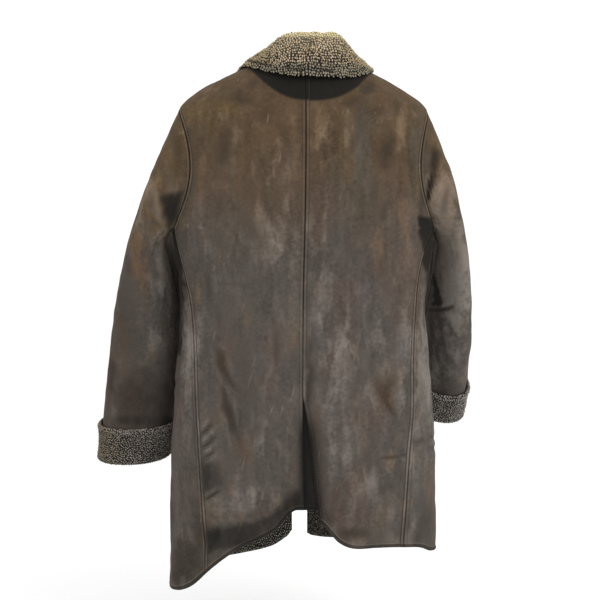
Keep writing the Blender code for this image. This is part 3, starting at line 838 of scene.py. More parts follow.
# The shade towards the vent: the height it starts from, how far down it is full, its reach, and the
# strengths of the shadow and of the dark tone that spreads further.
VENT_SHADE_TOP = -0.560
VENT_SHADE_FADE = 0.120
VENT_SHADE_REACH = {"back_left": 0.007, "back_right": 0.013}
VENT_SHADOW = 0.85
VENT_DARK = 0.90
VENT_DARK_SPREAD = 2.4


def vent_tones(cloth):
    """The shade of both backs towards the vent's edges."""
    below = ease(cloth.points[..., 2], VENT_SHADE_TOP, -VENT_SHADE_FADE)
    reach = VENT_SHADE_REACH[cloth.name]
    deepen(cloth, "shadow", VENT_SHADOW * below * bell(cloth.first, 0.0, reach))
    deepen(cloth, "dark", VENT_DARK * below * bell(cloth.first, 0.0, VENT_DARK_SPREAD * reach))


def stroke_tones(cloth, seed):
    """Adds random upright strokes to a piece's tones."""
    random = np.random.default_rng(seed)
    rows, columns = cloth.rise.shape
    tones, weights = zip(*STROKE_TONES)
    area = cloth.high[0].mean() * cloth.last[:, 0].mean()
    for _ in range(round(area / STROKE_AREA)):
        middle = cloth.points[random.integers(rows), random.integers(columns)]
        size = random.uniform(*STROKE_WIDTHS), random.uniform(*STROKE_LENGTHS)
        offset = cloth.points - middle
        across = np.linalg.norm(offset[..., :2], axis=-1) * np.sign(offset[..., 0] + offset[..., 1])
        across = across - offset[..., 2] * random.normal(0.0, STROKE_SLANT)
        away = (across / size[0]) ** 2 + (offset[..., 2] / size[1]) ** 2
        tone = random.choice(tones, p=weights)
        deepen(cloth, tone, random.uniform(*STROKE_STRENGTHS) * np.exp(-away))


# The painted shadow of the collar on the back below it: its lowest level, how far its edge rises towards
# its ends, and their reach.
COLLAR_SHADOW_LEVEL = -0.088
COLLAR_SHADOW_RISE = 0.036
COLLAR_SHADOW_REACH = 0.088
COLLAR_SHADOW_MIDDLE = -0.0115
COLLAR_SHADOW_POWER = 2.5
COLLAR_SHADOW_SOFT = 0.012


def under_collar(points):
    """The collar's shadow painted on the back below it, narrower towards its lower edge."""
    x, z = points[..., 0], points[..., 2]
    edge = COLLAR_SHADOW_LEVEL + COLLAR_SHADOW_RISE * (np.abs(x - COLLAR_SHADOW_MIDDLE) / COLLAR_SHADOW_REACH) ** COLLAR_SHADOW_POWER
    return ease(z, edge, COLLAR_SHADOW_SOFT) * (points[..., 1] > 0.0)


# A crease this deep gets full painted shade in its trough, and one this high gets painted highlight up to
# this
# strength. The lip along each side: its place and width in widths of the crease, and its height in depths.
CREASE_SHADE_DEPTH = 0.0018
CREASE_HIGHLIGHT = 0.8
LIP_PLACE = 2.0
LIP_WIDTH = 1.2
LIP_HEIGHT = 0.45


def crease_shape(spots, start, end, bow, width, depth):
    """A crease's relief at spots of its view, with a lip along each side and tapered ends."""
    way = end - start
    length = np.linalg.norm(way)
    way = way / length
    t = (spots - start) @ way / length
    aside = (spots - start) @ np.array((-way[1], way[0])) - bow * 4.0 * t * (1.0 - t)
    inside = np.clip(t, 0.0, 1.0)
    taper = np.sqrt(4.0 * inside * (1.0 - inside)) * ((t > 0.0) & (t < 1.0))
    lip = bell(np.abs(aside), LIP_PLACE * width, LIP_WIDTH * width)
    return depth * (bell(aside, 0.0, width) - LIP_HEIGHT * lip) * taper


def crease_rise(cloth):
    """The relief of all the creases of a piece."""
    total = np.zeros_like(cloth.rise)
    for (piece, view), rows in CREASES.items():
        if piece != cloth.name:
            continue
        axis, facing = VIEWS[view]
        shown = np.clip(2.0 * (cloth.normals @ np.array(facing)), 0.0, 1.0)
        for row in rows:
            sizes = np.array(row) / MILLIMETRES
            total += crease_shape(cloth.points[..., (axis, 2)], sizes[:2], sizes[2:4], *sizes[4:]) * shown
    return total


# The puffed band beside a seam and the groove of its topstitch: heights, the band's place, widths, and the
# strength and width of the painted shade in the groove and of the paler tone on the band.
BAND_AWAY = 0.0036
BAND_HEIGHT = 0.0005
BAND_WIDTH = 0.0016
GROOVE_DEPTH = 0.0007
GROOVE_WIDTH = 0.0007
GROOVE_SHADE = 0.50
GROOVE_SHADE_WIDTH = 0.0011
BAND_PALER = 0.55
BAND_PALER_WIDTH = 0.0014


def seam_relief(gap):
    """The puffed band beside a seam, and the groove of its topstitch."""
    groove = -GROOVE_DEPTH * bell(gap, STITCH_AWAY, GROOVE_WIDTH)
    return BAND_HEIGHT * bell(gap, BAND_AWAY, BAND_WIDTH) + groove


def deepen(cloth, tone, shade):
    cloth.attributes[tone] = np.maximum(cloth.attributes[tone], shade)


def ridge_tones(cloth, gap):
    """The paler ridge beside an outer seam, and painted shade in its topstitch's groove."""
    deepen(cloth, "shadow", GROOVE_SHADE * bell(gap, STITCH_AWAY, GROOVE_SHADE_WIDTH))
    deepen(cloth, "light", BAND_PALER * bell(gap, BAND_AWAY, BAND_PALER_WIDTH))


# Unevenness of the cloth: the height and size of its swells and of the pucker beside its seams, how far
# from an edge the swells are free, and the pucker's reach and start.
SWELLS = ((0.0009, 0.110), (0.0004, 0.035))
PUCKER_HEIGHT = 0.00025
PUCKER_SIZE = 0.016
PUCKER_REACH = 0.010
PUCKER_START = 0.004
FREE_REACH = 0.012


def dress(cloth, seed, seams):
    """Adds the unevenness, creases and seams of suede cloth, and its patches of tone with painted shade and
    light.
    """
    still = np.minimum(cloth.seam_gap(), cloth.hem_gap())
    free = ease(still, 0.0, FREE_REACH)
    for step, (height, size) in enumerate(SWELLS):
        cloth.rise += height * ripple(cloth.points, size, seed + step) * free
    creased = crease_rise(cloth) * free
    cloth.rise += creased
    pucker = ripple(cloth.points, PUCKER_SIZE, seed + 2) * np.exp(-still / PUCKER_REACH)
    cloth.rise += PUCKER_HEIGHT * pucker * ease(still, 0.0, PUCKER_START)
    for gap in seams:
        cloth.rise += seam_relief(gap)
    for tone in TONES:
        cloth.attributes[tone] = np.zeros_like(cloth.rise)
    # Painted shade in the creases' troughs, and painted highlight on their ridges and lips.
    cloth.attributes["dark"] = np.clip(-creased / CREASE_SHADE_DEPTH, 0.0, 1.0)
    cloth.attributes["light"] = np.clip(CREASE_HIGHLIGHT * creased / CREASE_SHADE_DEPTH, 0.0, CREASE_HIGHLIGHT)
    stroke_tones(cloth, seed + 3)
    patch_tones(cloth)
    zone_tones(cloth)


# The coat's panels. A side's number is added to the seeds of what both sides have.
SEEDS = {"back": 11, "front": 21, "side": 31, "sleeve": 41, "cuff": 51, "collar": 61, "gap": 67,
         "underlap": 71, "cuff_spots": 81, "collar_spots": 85, "lining_spots": 87,
         "cuff_curls": 91, "collar_curls": 95, "lining_curls": 97}


def body_levels(low, high):
    """Levels of a panel's rows, evenly spaced over the cloth and close together at both ends."""
    levels = np.linspace(low, high, LEVEL_SAMPLES)
    along = run(body_point(1, levels, np.full_like(levels, ROW_TURN)))
    places = across_places(along[-1:], round(along[-1] / CLOTH_STEP))[0]
    return np.interp(places, along, levels)


def body_grid(side, levels, starts, ends):
    """Points of the body between two turns at each level, evenly spaced over the cloth."""
    share = ease(np.linspace(0.0, 1.0, TURN_SAMPLES))
    turns = starts[:, None] + (ends - starts)[:, None] * share
    along = run(body_point(side, levels[:, None], turns), axis=1)
    places = across_places(along[:, -1], round(along[:, -1].mean() / CLOTH_STEP))
    found = np.stack([np.interp(*row) for row in zip(places, along, turns)])
    points = body_point(side, levels[:, None], found)
    points[:, 0] += unit(points[:, 0] - points[:, 1]) * SEAM_LAP
    points[:, -1] += unit(points[:, -1] - points[:, -2]) * SEAM_LAP
    points[-1] += unit(points[-1] - points[-2]) * SEAM_LAP
    return points


def body_cloth(name, side, levels, starts, ends, loop):
    points = body_grid(side, levels, starts, ends)
    outward = points * np.array((1.0, 1.0, 0.0))
    cloth = Cloth(name, points, outward, WALL)
    cloth.face_cut(loop.points, loop.cuts)
    cloth.attributes["hem"] = distance(points, points[0])
    return cloth, distance(points, loop.points)


# The centre-back seam is topstitched on the right half only.
UNSTITCHED_CENTRE = "back_left"


def panel(name, side, levels, starts, outer, loop, seed):
    """A back or a front, from its centre edge to its outer seam."""
    cloth, hole = body_cloth(name, side, levels, starts, outer, loop)
    outer_gap = np.minimum(cloth.last, hole)
    cloth.attributes["seam"] = least(cloth.first, outer_gap, cloth.high)
    seams = (cloth.first, outer_gap, cloth.hem_gap())
    dress(cloth, seed + side, seams[int(name == UNSTITCHED_CENTRE):])
    ridge_tones(cloth, outer_gap)
    return cloth


def back(side, word, loop):
    levels = body_levels(LOWEST, 0.0)
    starts = centre_turn(side, levels)
    cloth = panel("back_" + word, side, levels, starts, outer_turns(side, levels)[0], loop, SEEDS["back"])
    deepen(cloth, "shadow", under_collar(cloth.points))
    vent_tones(cloth)
    return cloth


def front(side, word, loop):
    levels = body_levels(LOWEST, 0.0)
    starts = edge_turn(levels, FRONT_EDGE)
    return panel("front_" + word, side, levels, starts, outer_turns(side, levels)[1], loop, SEEDS["front"])


def side_panel(side, word, loop):
    levels = body_levels(LOWEST, UNDERARM)
    starts, ends = seam_turns(side, levels)
    cloth, hole = body_cloth("side_" + word, side, levels, starts, ends, loop)
    cloth.attributes["seam"] = least(cloth.first, cloth.last, cloth.high, hole)
    dress(cloth, SEEDS["side"] + side, (cloth.hem_gap(),))
    return cloth


def sleeve_section(side, place):
    """Centre and half-vectors to the outer edge and to the back, at a place along the sleeve."""
    size = {name: float(SLEEVES[side].at(place, name)) for name in SLEEVES[side].columns}
    outer = np.array((side * size["outer_x"], size["centre_y"], size["outer_z"]))
    inner = np.array((side * size["inner_x"], size["centre_y"], size["inner_z"]))
    swing = math.radians(size["swing"])
    twist = math.radians(size["twist"])
    back_way = math.cos(twist)
    depth = np.array((side * math.sin(twist), back_way * math.cos(swing), -back_way * math.sin(swing)))
    return (outer + inner) / 2.0, (outer - inner) / 2.0, depth * size["half_depth"]


def sleeve_angles(loop):
    """The angle of each armhole point round the sleeve, 0 at the top, a quarter turn at the back."""
    top = loop.points[np.argmax(loop.points[:, 2])]
    bottom = loop.points[0]
    middle = (top + bottom) / 2.0
    reach = (top - bottom) / 2.0
    depth = np.abs(loop.points[:, 1] - middle[1]).max()
    up = (loop.points - middle) @ reach / (reach @ reach)
    return np.arctan2((loop.points[:, 1] - middle[1]) / depth, up)


def sleeve_ring(side, place, angles):
    centre, outward, depth = sleeve_section(side, place)
    power = 2.0 / SLEEVE_SQUARENESS
    across = powered(np.cos(angles), power)[:, None]
    return centre + outward * across + depth * powered(np.sin(angles), power)[:, None]


def sleeve_rings(side, loop, places):
    """Rings of the sleeve's outer face at places along it."""
    angles = sleeve_angles(loop)
    rings = np.stack([sleeve_ring(side, place, angles) for place in places])
    if places[0] == 0.0:
        rings[0] = loop.points * (1.0 - CAP_EASE) + rings[0] * CAP_EASE
        rings = np.concatenate([loop.points[None], rings])
    return rings


def round_outward(points):
    """Directions away from the middle of each ring."""
    return points - points.mean(axis=1, keepdims=True)


def sleeve(side, word, loop):
    points = shaped_grid(sleeve_rings(side, loop, SLEEVE_PLACES), CLOTH_STEP)
    points[0] -= loop.aways * SEAM_LAP
    cloth = Cloth("sleeve_" + word, points, round_outward(points), WALL)
    cloth.face_cut(loop.points, loop.cuts)
    cloth.attributes["seam"] = least(cloth.low, cloth.first, cloth.last)
    cloth.attributes["hem"] = cloth.high
    dress(cloth, SEEDS["sleeve"] + side, ())
    return cloth


# The cuffs' ground of dense pile below their curls: its thickness, the puffed lip along its upper edge, and
# the height and size of its swells. Piles swell fully this far from their edges.
PILE_GROUND = 0.0055
CUFF_STEP = 0.0050
CUFF_RINGS = 5
CUFF_LIP = 0.0022
CUFF_LIP_AWAY = 0.0045
CUFF_LIP_WIDTH = 0.0035
CUFF_SWELL = (0.0008, 0.030)
PILE_FREE = 0.01

# Farther from a seam than any finish looks for.
NO_SEAM = 1.0


def cuff(side, word, loop):
    """The sleeve's pile end turned up over its outside."""
    rings = sleeve_rings(side, loop, np.linspace(CUFF_STARTS[side], SLEEVE_END, CUFF_RINGS))
    down = unit(rings[-1].mean(axis=0) - rings[0].mean(axis=0)) * CUFF_DROP
    points = shaped_grid(np.concatenate([rings, rings[-1:] + down]), CUFF_STEP)
    outward = round_outward(points)
    points = points + grid_normals(points, outward) * (SEAM_GAP + PILE_GROUND)
    cloth = Cloth("cuff_" + word, points, outward, PILE_GROUND)
    cloth.attributes["seam"] = np.full(cloth.rise.shape, NO_SEAM)
    cloth.attributes["hem"] = np.minimum(cloth.low, cloth.high)
    height, size = CUFF_SWELL
    uneven = height * ripple(points, size, SEEDS["cuff"] + side)
    cloth.rise += uneven * ease(cloth.hem_gap(), 0.0, PILE_FREE)
    cloth.rise += CUFF_LIP * bell(cloth.low, CUFF_LIP_AWAY, CUFF_LIP_WIDTH)
    return cloth


def collar_profiles(side, turn):
    """Points up the collar's middle sheet at many turns, from the neck seam over the roll to its edge."""
    size = {name: COLLAR.at(turn, name)[:, None] for name in COLLAR.columns}
    size["rise"] = COLLAR.at(np.interp(turn, *COLLAR_WARP[side]), "rise")[:, None]
    fade = ease(turn, 0.0, TILT_IN) * (1.0 - ease(turn, TILT_OUT, TILT_IN))
    size["edge_level"] = size["edge_level"] + (COLLAR_TILT[side] * fade)[:, None]
    size["stand_off"] = size["stand_off"] * (1.0 - SIDE_PULL * fade)[:, None]
    up = np.array((0.0, 0.0, 1.0))
    foot = body_point(side, np.zeros_like(turn), turn)
    away = unit(foot * np.array((1.0, 1.0, 0.0)))
    foot = foot + up * COLLAR_GAP - away * (COLLAR_WALL / 2.0 + SEAM_GAP)
    radius = size["radius"]
    lean = np.array((COLLAR_LEAN, 0.0, 0.0)) * size["rise"] / COLLAR.at(0.0, "rise")
    middle = foot + lean + away * radius + up * (size["rise"] - radius)
    roll = []
    for angle in np.radians(np.linspace(180.0, ROLL_END, ROLL_POINTS)):
        roll.append(middle + away * radius * math.cos(angle) + up * radius * math.sin(angle))
    level = size["edge_level"][:, 0]
    edge = body_point(side, level, turn) + body_normal(side, level, turn) * size["stand_off"]
    start = roll[-1]
    length = np.linalg.norm(edge - start, axis=-1, keepdims=True)
    pull = start * (1.0 - FALL_PULL) + edge * FALL_PULL
    pull = pull + (away * FALL_BULGE[0] + up * FALL_BULGE[1]) * length
    fall = []
    for t in np.linspace(1.0 / FALL_POINTS, 1.0, FALL_POINTS):
        fall.append(start * (1.0 - t) ** 2 + pull * (2.0 * t * (1.0 - t)) + edge * t**2)
    stand = [foot * (1.0 - t) + roll[0] * t for t in STAND_SHARES]
    return np.stack(stand + roll + fall)


# The collar's ground: its thickness, the spacing of its rows and columns, and its swells.
COLLAR_GROUND = 0.0035
COLLAR_STEP = 0.0032
COLLAR_SAMPLES = 181
COLLAR_SWELL = (0.0007, 0.025)


def even_columns(sheet, step):
    """A sheet's columns again, evenly spaced along its last row."""
    along = run(sheet[-1])
    places = np.linspace(0.0, along[-1], round(along[-1] / step))
    columns = np.interp(places, along, np.arange(len(along)))
    low = np.floor(columns).astype(int)
    high = np.minimum(low + 1, len(along) - 1)
    share = (columns - low)[None, :, None]
    return sheet[:, low] * (1.0 - share) + sheet[:, high] * share


def collar():
    """The collar's ground: a folded sheet from one front edge round the neck to the other."""
    turns = np.linspace(0.0, float(edge_turn(0.0, FRONT_EDGE)), COLLAR_SAMPLES)
    left, right = (collar_profiles(side, turns) for side, _ in SIDES)
    sheet = np.concatenate([left[:, ::-1], right[:, 1:]], axis=1)
    points = shaped_grid(even_columns(sheet, COLLAR_STEP), COLLAR_STEP)
    outward = np.zeros_like(points)
    outward[-1] = points[-1] - points[0]
    points = points + grid_normals(points, outward) * COLLAR_GROUND / 2.0
    cloth = Cloth("collar", points, outward, COLLAR_GROUND)
    edges = least(cloth.first, cloth.last, cloth.high)
    cloth.attributes["seam"] = cloth.low
    cloth.attributes["hem"] = edges
    height, size = COLLAR_SWELL
    cloth.rise += height * ripple(points, size, SEEDS["collar"]) * ease(edges, 0.0, PILE_FREE)
    return cloth


def underlap_line(level):
    """Points of the strip's outer face at a level, from under the right back to behind the left back."""
    start = centre_turn(-1, level)
    end = start + (outer_turns(-1, level)[0] - start) * UNDERLAP_RIGHT_SHARE
    turns = np.linspace(end, start, UNDERLAP_POINTS)
    line = body_point(-1, level, turns) - body_normal(-1, level, turns) * (WALL + SEAM_GAP)
    edge = line[-1]
    more = []
    for share, depth in UNDERLAP_STEPS:
        across = edge[0] + (UNDERLAP_LEFT - edge[0]) * share
        turn = 180.0 - edge_turn(edge[2], abs(across))
        behind = section_point(1, edge[2], turn)[1] - WALL - SEAM_GAP - UNDERLAP_SINK
        more.append((across, edge[1] + (behind - edge[1]) * depth, edge[2]))
    return np.concatenate([line, more])


def underlap():
    """The strip behind the vent."""
    levels = np.linspace(UNDERLAP_BOTTOM, UNDERLAP_TOP, UNDERLAP_LINES)
    lines = np.stack([underlap_line(level) for level in levels])
    points = shaped_grid(lines, CLOTH_STEP)
    points = shaped_grid(points.swapaxes(0, 1), CLOTH_STEP).swapaxes(0, 1)
    cloth = Cloth("vent_underlap", points, np.zeros_like(points) + (0.0, 1.0, 0.0), WALL)
    cloth.attributes["seam"] = least(cloth.first, cloth.last, cloth.high)
    cloth.attributes["hem"] = cloth.low
    dress(cloth, SEEDS["underlap"], (cloth.low,))
    cloth.attributes["shadow"] = np.full(cloth.rise.shape, UNDERLAP_SHADE)
    return cloth


# Stitches: short threads that lie in the topstitches' grooves.
STITCH_PITCH = 0.0046
STITCH_LENGTH = 0.0034
STITCH_THICK = 0.0004
STITCH_AHEAD = 0.001
STITCH_SIDES = 5
STITCH_RINGS = 4


def repeated(name, template, places, frames, finish, attributes):
    """One mesh with a copy of a template at each place, turned and sized by its frame."""
    count = len(places)
    corners = len(template.vertices)
    spots = np.empty(corners * 3)
    template.vertices.foreach_get("co", spots)
    spots = spots.reshape(corners, 3)
    mesh = bmesh.new()
    mesh.from_mesh(template)
    faces = np.array([[vert.index for vert in face.verts] for face in mesh.faces])
    mesh.free()
    data = bpy.data.meshes.new(name)
    data.vertices.add(count * corners)
    data.vertices.foreach_set("co", (places[:, None] + spots @ frames).ravel())
    loops = (faces[None] + np.arange(count)[:, None, None] * corners).reshape(-1, faces.shape[1])
    data.loops.add(loops.size)
    data.loops.foreach_set("vertex_index", loops.ravel())
    data.polygons.add(len(loops))
    data.polygons.foreach_set("loop_start", np.arange(len(loops)) * faces.shape[1])
    data.polygons.foreach_set("use_smooth", np.ones(len(loops), bool))
    data.update(calc_edges=True)
    for key, values in attributes.items():
        layer = data.attributes.new(key, "FLOAT", "POINT")
        layer.data.foreach_set("value", np.asarray(values(spots), float).ravel())
    data.materials.append(finish)
    return placed(name, data)


def template_mesh(name, mesh):
    """A bmesh as triangles, to be repeated."""
    bmesh.ops.triangulate(mesh, faces=mesh.faces)
    bmesh.ops.recalc_face_normals(mesh, faces=mesh.faces)
    data = bpy.data.meshes.new(name)
    mesh.to_mesh(data)
    mesh.free()
    return data


def thread_template():
    """One stitch: a slim pointed spindle along X."""
    mesh = bmesh.new()
    bmesh.ops.create_uvsphere(mesh, u_segments=STITCH_SIDES, v_segments=STITCH_RINGS, radius=1.0)
    size = Vector((STITCH_THICK, STITCH_THICK, STITCH_LENGTH / 2.0))
    bmesh.ops.scale(mesh, vec=size, verts=mesh.verts)
    for vert in mesh.verts:
        vert.co = (vert.co.z, vert.co.x, vert.co.y)
    return template_mesh("thread", mesh)


def topstitch(points, normals, gap, value, axis):
    """The line on a cloth's outer face at which a distance has this value."""
    found = []
    if axis == 0:
        points, normals, gap = points.swapaxes(0, 1), normals.swapaxes(0, 1), gap.T
    for line, ways, gaps in zip(points, normals, gap):
        nearest = int(np.argmax(gaps >= value))
        if gaps[nearest] < value or nearest == 0:
            continue
        share = (value - gaps[nearest - 1]) / (gaps[nearest] - gaps[nearest - 1])
        spot = line[nearest - 1] * (1.0 - share) + line[nearest] * share
        found.append((spot, ways[nearest]))
    return np.array([spot for spot, _ in found]), np.array([way for _, way in found])


def stitch_frames(line, ways):
    """Places and frames of stitches along a line on the cloth."""
    along = run(line)
    places = np.arange(STITCH_PITCH, along[-1] - STITCH_PITCH / 2.0, STITCH_PITCH)

    def read(columns, where):
        return np.stack([np.interp(where, along, column) for column in columns.T], axis=1)

    spots = read(line, places)
    ups = unit(read(ways, places))
    forward = unit(read(line, places + STITCH_AHEAD) - spots)
    beside = unit(np.cross(ups, forward))
    frames = np.stack([forward, beside, np.cross(forward, beside)], axis=1)
    return spots + ups * STITCH_THICK * 0.5, frames


# Curls of the pile: plump short commas with rounded ends, which lie on the ground.
CURL_BEND = 115.0
CURL_SIDES = 5
CURL_STEPS = 4
CURL_RADIUS = 0.0014
CURL_THICK = 0.00105
CURL_LIFT = 0.0006
CURL_TIP = 0.12

# How much curls differ: how far they lean and turn, and ranges of their size, length and height.
CURL_LEAN = 0.22
CURL_TURN = 28.0
CURL_SIZES = (0.8, 1.15)
CURL_LENGTHS = (1.0, 1.30)
CURL_HEIGHTS = (0.9, 1.4)


def curl_template():
    """One curl in the XY plane, round its own middle."""
    mesh = bmesh.new()
    made = bmesh.ops.create_circle(mesh, cap_ends=False, segments=CURL_SIDES, radius=1.0)
    for vert in made["verts"]:
        vert.co = (CURL_RADIUS + vert.co.x * CURL_THICK, 0.0, vert.co.y * CURL_THICK)
    bmesh.ops.spin(
        mesh, geom=mesh.verts[:] + mesh.edges[:], cent=(0, 0, 0), axis=(0, 0, 1),
        angle=math.radians(CURL_BEND), steps=CURL_STEPS, use_duplicate=False,
    )
    half = math.radians(CURL_BEND) / 2.0
    middle = Vector((math.cos(half), math.sin(half), 0.0)) * CURL_RADIUS
    for vert in mesh.verts:
        angle = math.atan2(vert.co.y, vert.co.x)
        spine = Vector((math.cos(angle), math.sin(angle), 0.0)) * CURL_RADIUS
        plump = max(1.0 - abs(angle / half - 1.0) ** 3.0, CURL_TIP) ** 0.5
        vert.co = spine + (vert.co - spine) * plump - middle
    ends = [edge for edge in mesh.edges if edge.is_boundary]
    bmesh.ops.holes_fill(mesh, edges=ends, sides=CURL_SIDES)
    return template_mesh("curl", mesh)


Spots = namedtuple("Spots", "points normals ways")

# How far apart curls stand, how many places are tried for each square of that size, and the collar's
# uneven rows: their pitch, how strongly places are drawn to them, and how far and how often they wander.
COLLAR_SPACING = 0.0034
CUFF_SPACING = 0.0029
LINING_SPACING = 0.0036
TRIES = 6.0
COLLAR_ROWS = 0.0050
ROW_PULL = 0.75
ROW_WANDER = 0.35
ROW_SWELL = 0.040


def scatter(points, normals, spacing, seed, share=None, rows=None):
    """Places on a grid that keep this far from each other, with the cloth's normal and upward way.

    Rows are the pitch of uneven rows across the cloth, towards which the places are drawn.
    """
    random = np.random.default_rng(seed)
    start = points[:-1, :-1]
    area = np.linalg.norm(np.cross(points[:-1, 1:] - start, points[1:, :-1] - start), axis=-1)
    if share is not None:
        area = area * share[:-1, :-1]
    count = int(TRIES * area.sum() / spacing**2)
    cells = random.choice(area.size, count, p=area.ravel() / area.sum())
    row, column = np.divmod(cells, area.shape[1])
    up, along = random.uniform(size=(2, count, 1))
    low = points[row, column] * (1.0 - along) + points[row, column + 1] * along
    high = points[row + 1, column] * (1.0 - along) + points[row + 1, column + 1] * along
    places = low * (1.0 - up) + high * up
    ways = unit(high - low)
    if rows is not None:
        height = run(points)[row, column] + up[:, 0] * np.linalg.norm(high - low, axis=-1)
        height = height / rows + ROW_WANDER * ripple(places, ROW_SWELL, seed + 1)
        places = places + ways * ((np.round(height) - height) * rows * ROW_PULL)[:, None]
    kept = thinned(places, spacing)
    return Spots(places[kept], normals[row, column][kept], ways[kept])


def thinned(places, spacing):
    """Indices of places, in order, that keep this far from the ones kept before them."""
    shifts = [(i, j, k) for i in (-1, 0, 1) for j in (-1, 0, 1) for k in (-1, 0, 1)]
    boxes = {}
    kept = []
    cells = np.floor(places / spacing).astype(int).tolist()
    for index, ((x, y, z), place) in enumerate(zip(cells, places.tolist())):
        near = []
        for i, j, k in shifts:
            near += boxes.get((x + i, y + j, z + k), ())
        if all(math.dist(place, other) >= spacing for other in near):
            boxes.setdefault((x, y, z), []).append(place)
            kept.append(index)
    return np.array(kept)


def curls(name, spots, size, seed, finish, tints, slant=None):
    """Curls on scattered spots. Tints give each curl's tint from its place; slant turns them alike."""
    random = np.random.default_rng(seed)
    count = len(spots.points)
    normals = unit(spots.normals + random.normal(scale=CURL_LEAN, size=(count, 3)))
    ways = unit(spots.ways - normals * along_way(spots.ways, normals))
    beside = np.cross(normals, ways)
    if slant is None:
        turns = random.uniform(0.0, 2.0 * np.pi, (count, 1))
    else:
        turns = np.radians(random.normal(slant, CURL_TURN, (count, 1)))
    first = ways * np.cos(turns) + beside * np.sin(turns)
    second = np.cross(normals, first)
    size = np.asarray(size).reshape(-1, 1)
    scale = (size * random.uniform(*CURL_SIZES, (count, 1)))[..., None]
    long = random.uniform(*CURL_LENGTHS, (count, 1))
    high = random.uniform(*CURL_HEIGHTS, (count, 1))
    frames = np.stack([first, second * long, normals * high], axis=1)
    places = spots.points + normals * size * CURL_LIFT

    def height(template):
        return np.broadcast_to(template[:, 2] / CURL_THICK * 0.5 + 0.5, (count, len(template)))

    def repeat(values):
        return lambda template: np.broadcast_to(values[:, None], (count, len(template)))

    attributes = {"tip": height, "shade": repeat(random.uniform(size=count))}
    for key, tint in tints.items():
        attributes[key] = repeat(tint(spots.points))
    return repeated(name, curl_template(), places, frames * scale, finish, attributes)


# Materials.


class Value:
    """A number that varies over a surface. Sums on it add Math nodes to its finish."""

    def __init__(self, finish, socket):
        self.finish = finish
        self.socket = socket

    def maths(self, operation, *values):
        return self.finish.node("ShaderNodeMath", {"operation": operation}, dict(enumerate(values)))

    def __add__(self, other):
        return self.maths("ADD", self, other)

    def __sub__(self, other):
        return self.maths("SUBTRACT", self, other)

    def __rsub__(self, other):
        return self.maths("SUBTRACT", other, self)

    def __mul__(self, other):
        return self.maths("MULTIPLY", self, other)

    def smooth(self, low, high):
        """0 below low, 1 above high, and a soft step between them."""
        settings = {"interpolation_type": "SMOOTHSTEP"}
        return self.finish.node("ShaderNodeMapRange", settings, {0: self, 1: low, 2: high})

    def band(self, start, full, fading, end):
        """1 from full to fading, and 0 before the start and past the end."""
        return (1.0 - self.smooth(fading, end)) * self.smooth(start, full)

    __radd__ = __add__
    __rmul__ = __mul__


# How far a facet's edges wander, and how soft they are.
FACET_WANDER = 0.03
FACET_SOFT = 0.12


class Finish:
    """A material's nodes."""

    def __init__(self, name):
        self.material = bpy.data.materials.new(name)
        self.material.use_nodes = True
        self.tree = self.material.node_tree
        self.tree.nodes.clear()
        self.place = self.node("ShaderNodeTexCoord", output="Object")

    def node(self, kind, settings=(), inputs=(), output=0):
        made = self.tree.nodes.new(kind)
        for name, value in dict(settings).items():
            setattr(made, name, value)
        for name, value in dict(inputs).items():
            if isinstance(value, Value):
                self.tree.links.new(value.socket, made.inputs[name])
            else:
                made.inputs[name].default_value = value
        return Value(self, made.outputs[output])

    def stretched(self, place, long, lean=0.0):
        """Places on which textures are longer upwards and lean by an angle in degrees."""
        inputs = {"Vector": place, "Rotation": (0.0, math.radians(lean), 0.0), "Scale": (1.0, 1.0, long)}
        return self.node("ShaderNodeMapping", {"vector_type": "TEXTURE"}, inputs)

    def noise(self, scale, detail=2.0, long=1.0, lean=0.0):
        """Soft noise whose swells are this many times longer upwards."""
        inputs = {"Vector": self.stretched(self.place, long, lean), "Scale": scale, "Detail": detail}
        return self.node("ShaderNodeTexNoise", {}, inputs)

    def facets(self, scale, long, warp):
        """Facets with a random number from 0 to 1 each, longer upwards, with edges that wander."""
        moved = {0: self.place, 1: self.scaled(warp, FACET_WANDER)}
        place = self.node("ShaderNodeVectorMath", {"operation": "ADD"}, moved)
        inputs = {"Vector": self.stretched(place, long), "Scale": scale, "Smoothness": FACET_SOFT}
        return self.node("ShaderNodeTexVoronoi", {"feature": "SMOOTH_F1"}, inputs, output="Color")

    def attribute(self, name):
        return self.node("ShaderNodeAttribute", {"attribute_name": name}, output="Fac")

    def mix(self, share, low, high):
        return self.node("ShaderNodeMix", {"data_type": "RGBA"}, {0: share, 6: low, 7: high}, output=2)

    def layered(self, colour, *layers):
        """A colour with others over it, each given by a share, where it shows, and its colour."""
        for share, where, shown in layers:
            colour = self.mix(share * where, colour, shown)
        return colour

    def scaled(self, colour, value):
        return self.node("ShaderNodeVectorMath", {"operation": "SCALE"}, {0: colour, 3: value})

    def height(self):
        return self.node("ShaderNodeSeparateXYZ", {}, {0: self.place}, output=2)

    def bump(self, height, depth, strength=1.0, under=None):
        inputs = {"Height": height, "Distance": depth, "Strength": strength}
        if under is not None:
            inputs["Normal"] = under
        return self.node("ShaderNodeBump", {}, inputs)

    def surface(self, **inputs):
        named = {name.replace("_", " "): value for name, value in inputs.items()}
        shader = self.node("ShaderNodeBsdfPrincipled", {}, named)
        output = self.tree.nodes.new("ShaderNodeOutputMaterial")
        self.tree.links.new(shader.socket, output.inputs["Surface"])
        return self.material


def rgb(red, green, blue):
    """A shader colour from the values that a dyer's swatch shows on a screen, 0 to 255."""
    linear = []
    for value in (red, green, blue):
        value = value / 255.0
        linear.append(value / 12.92 if value <= 0.04045 else ((value + 0.055) / 1.055) ** 2.4)
    return (*linear, 1.0)


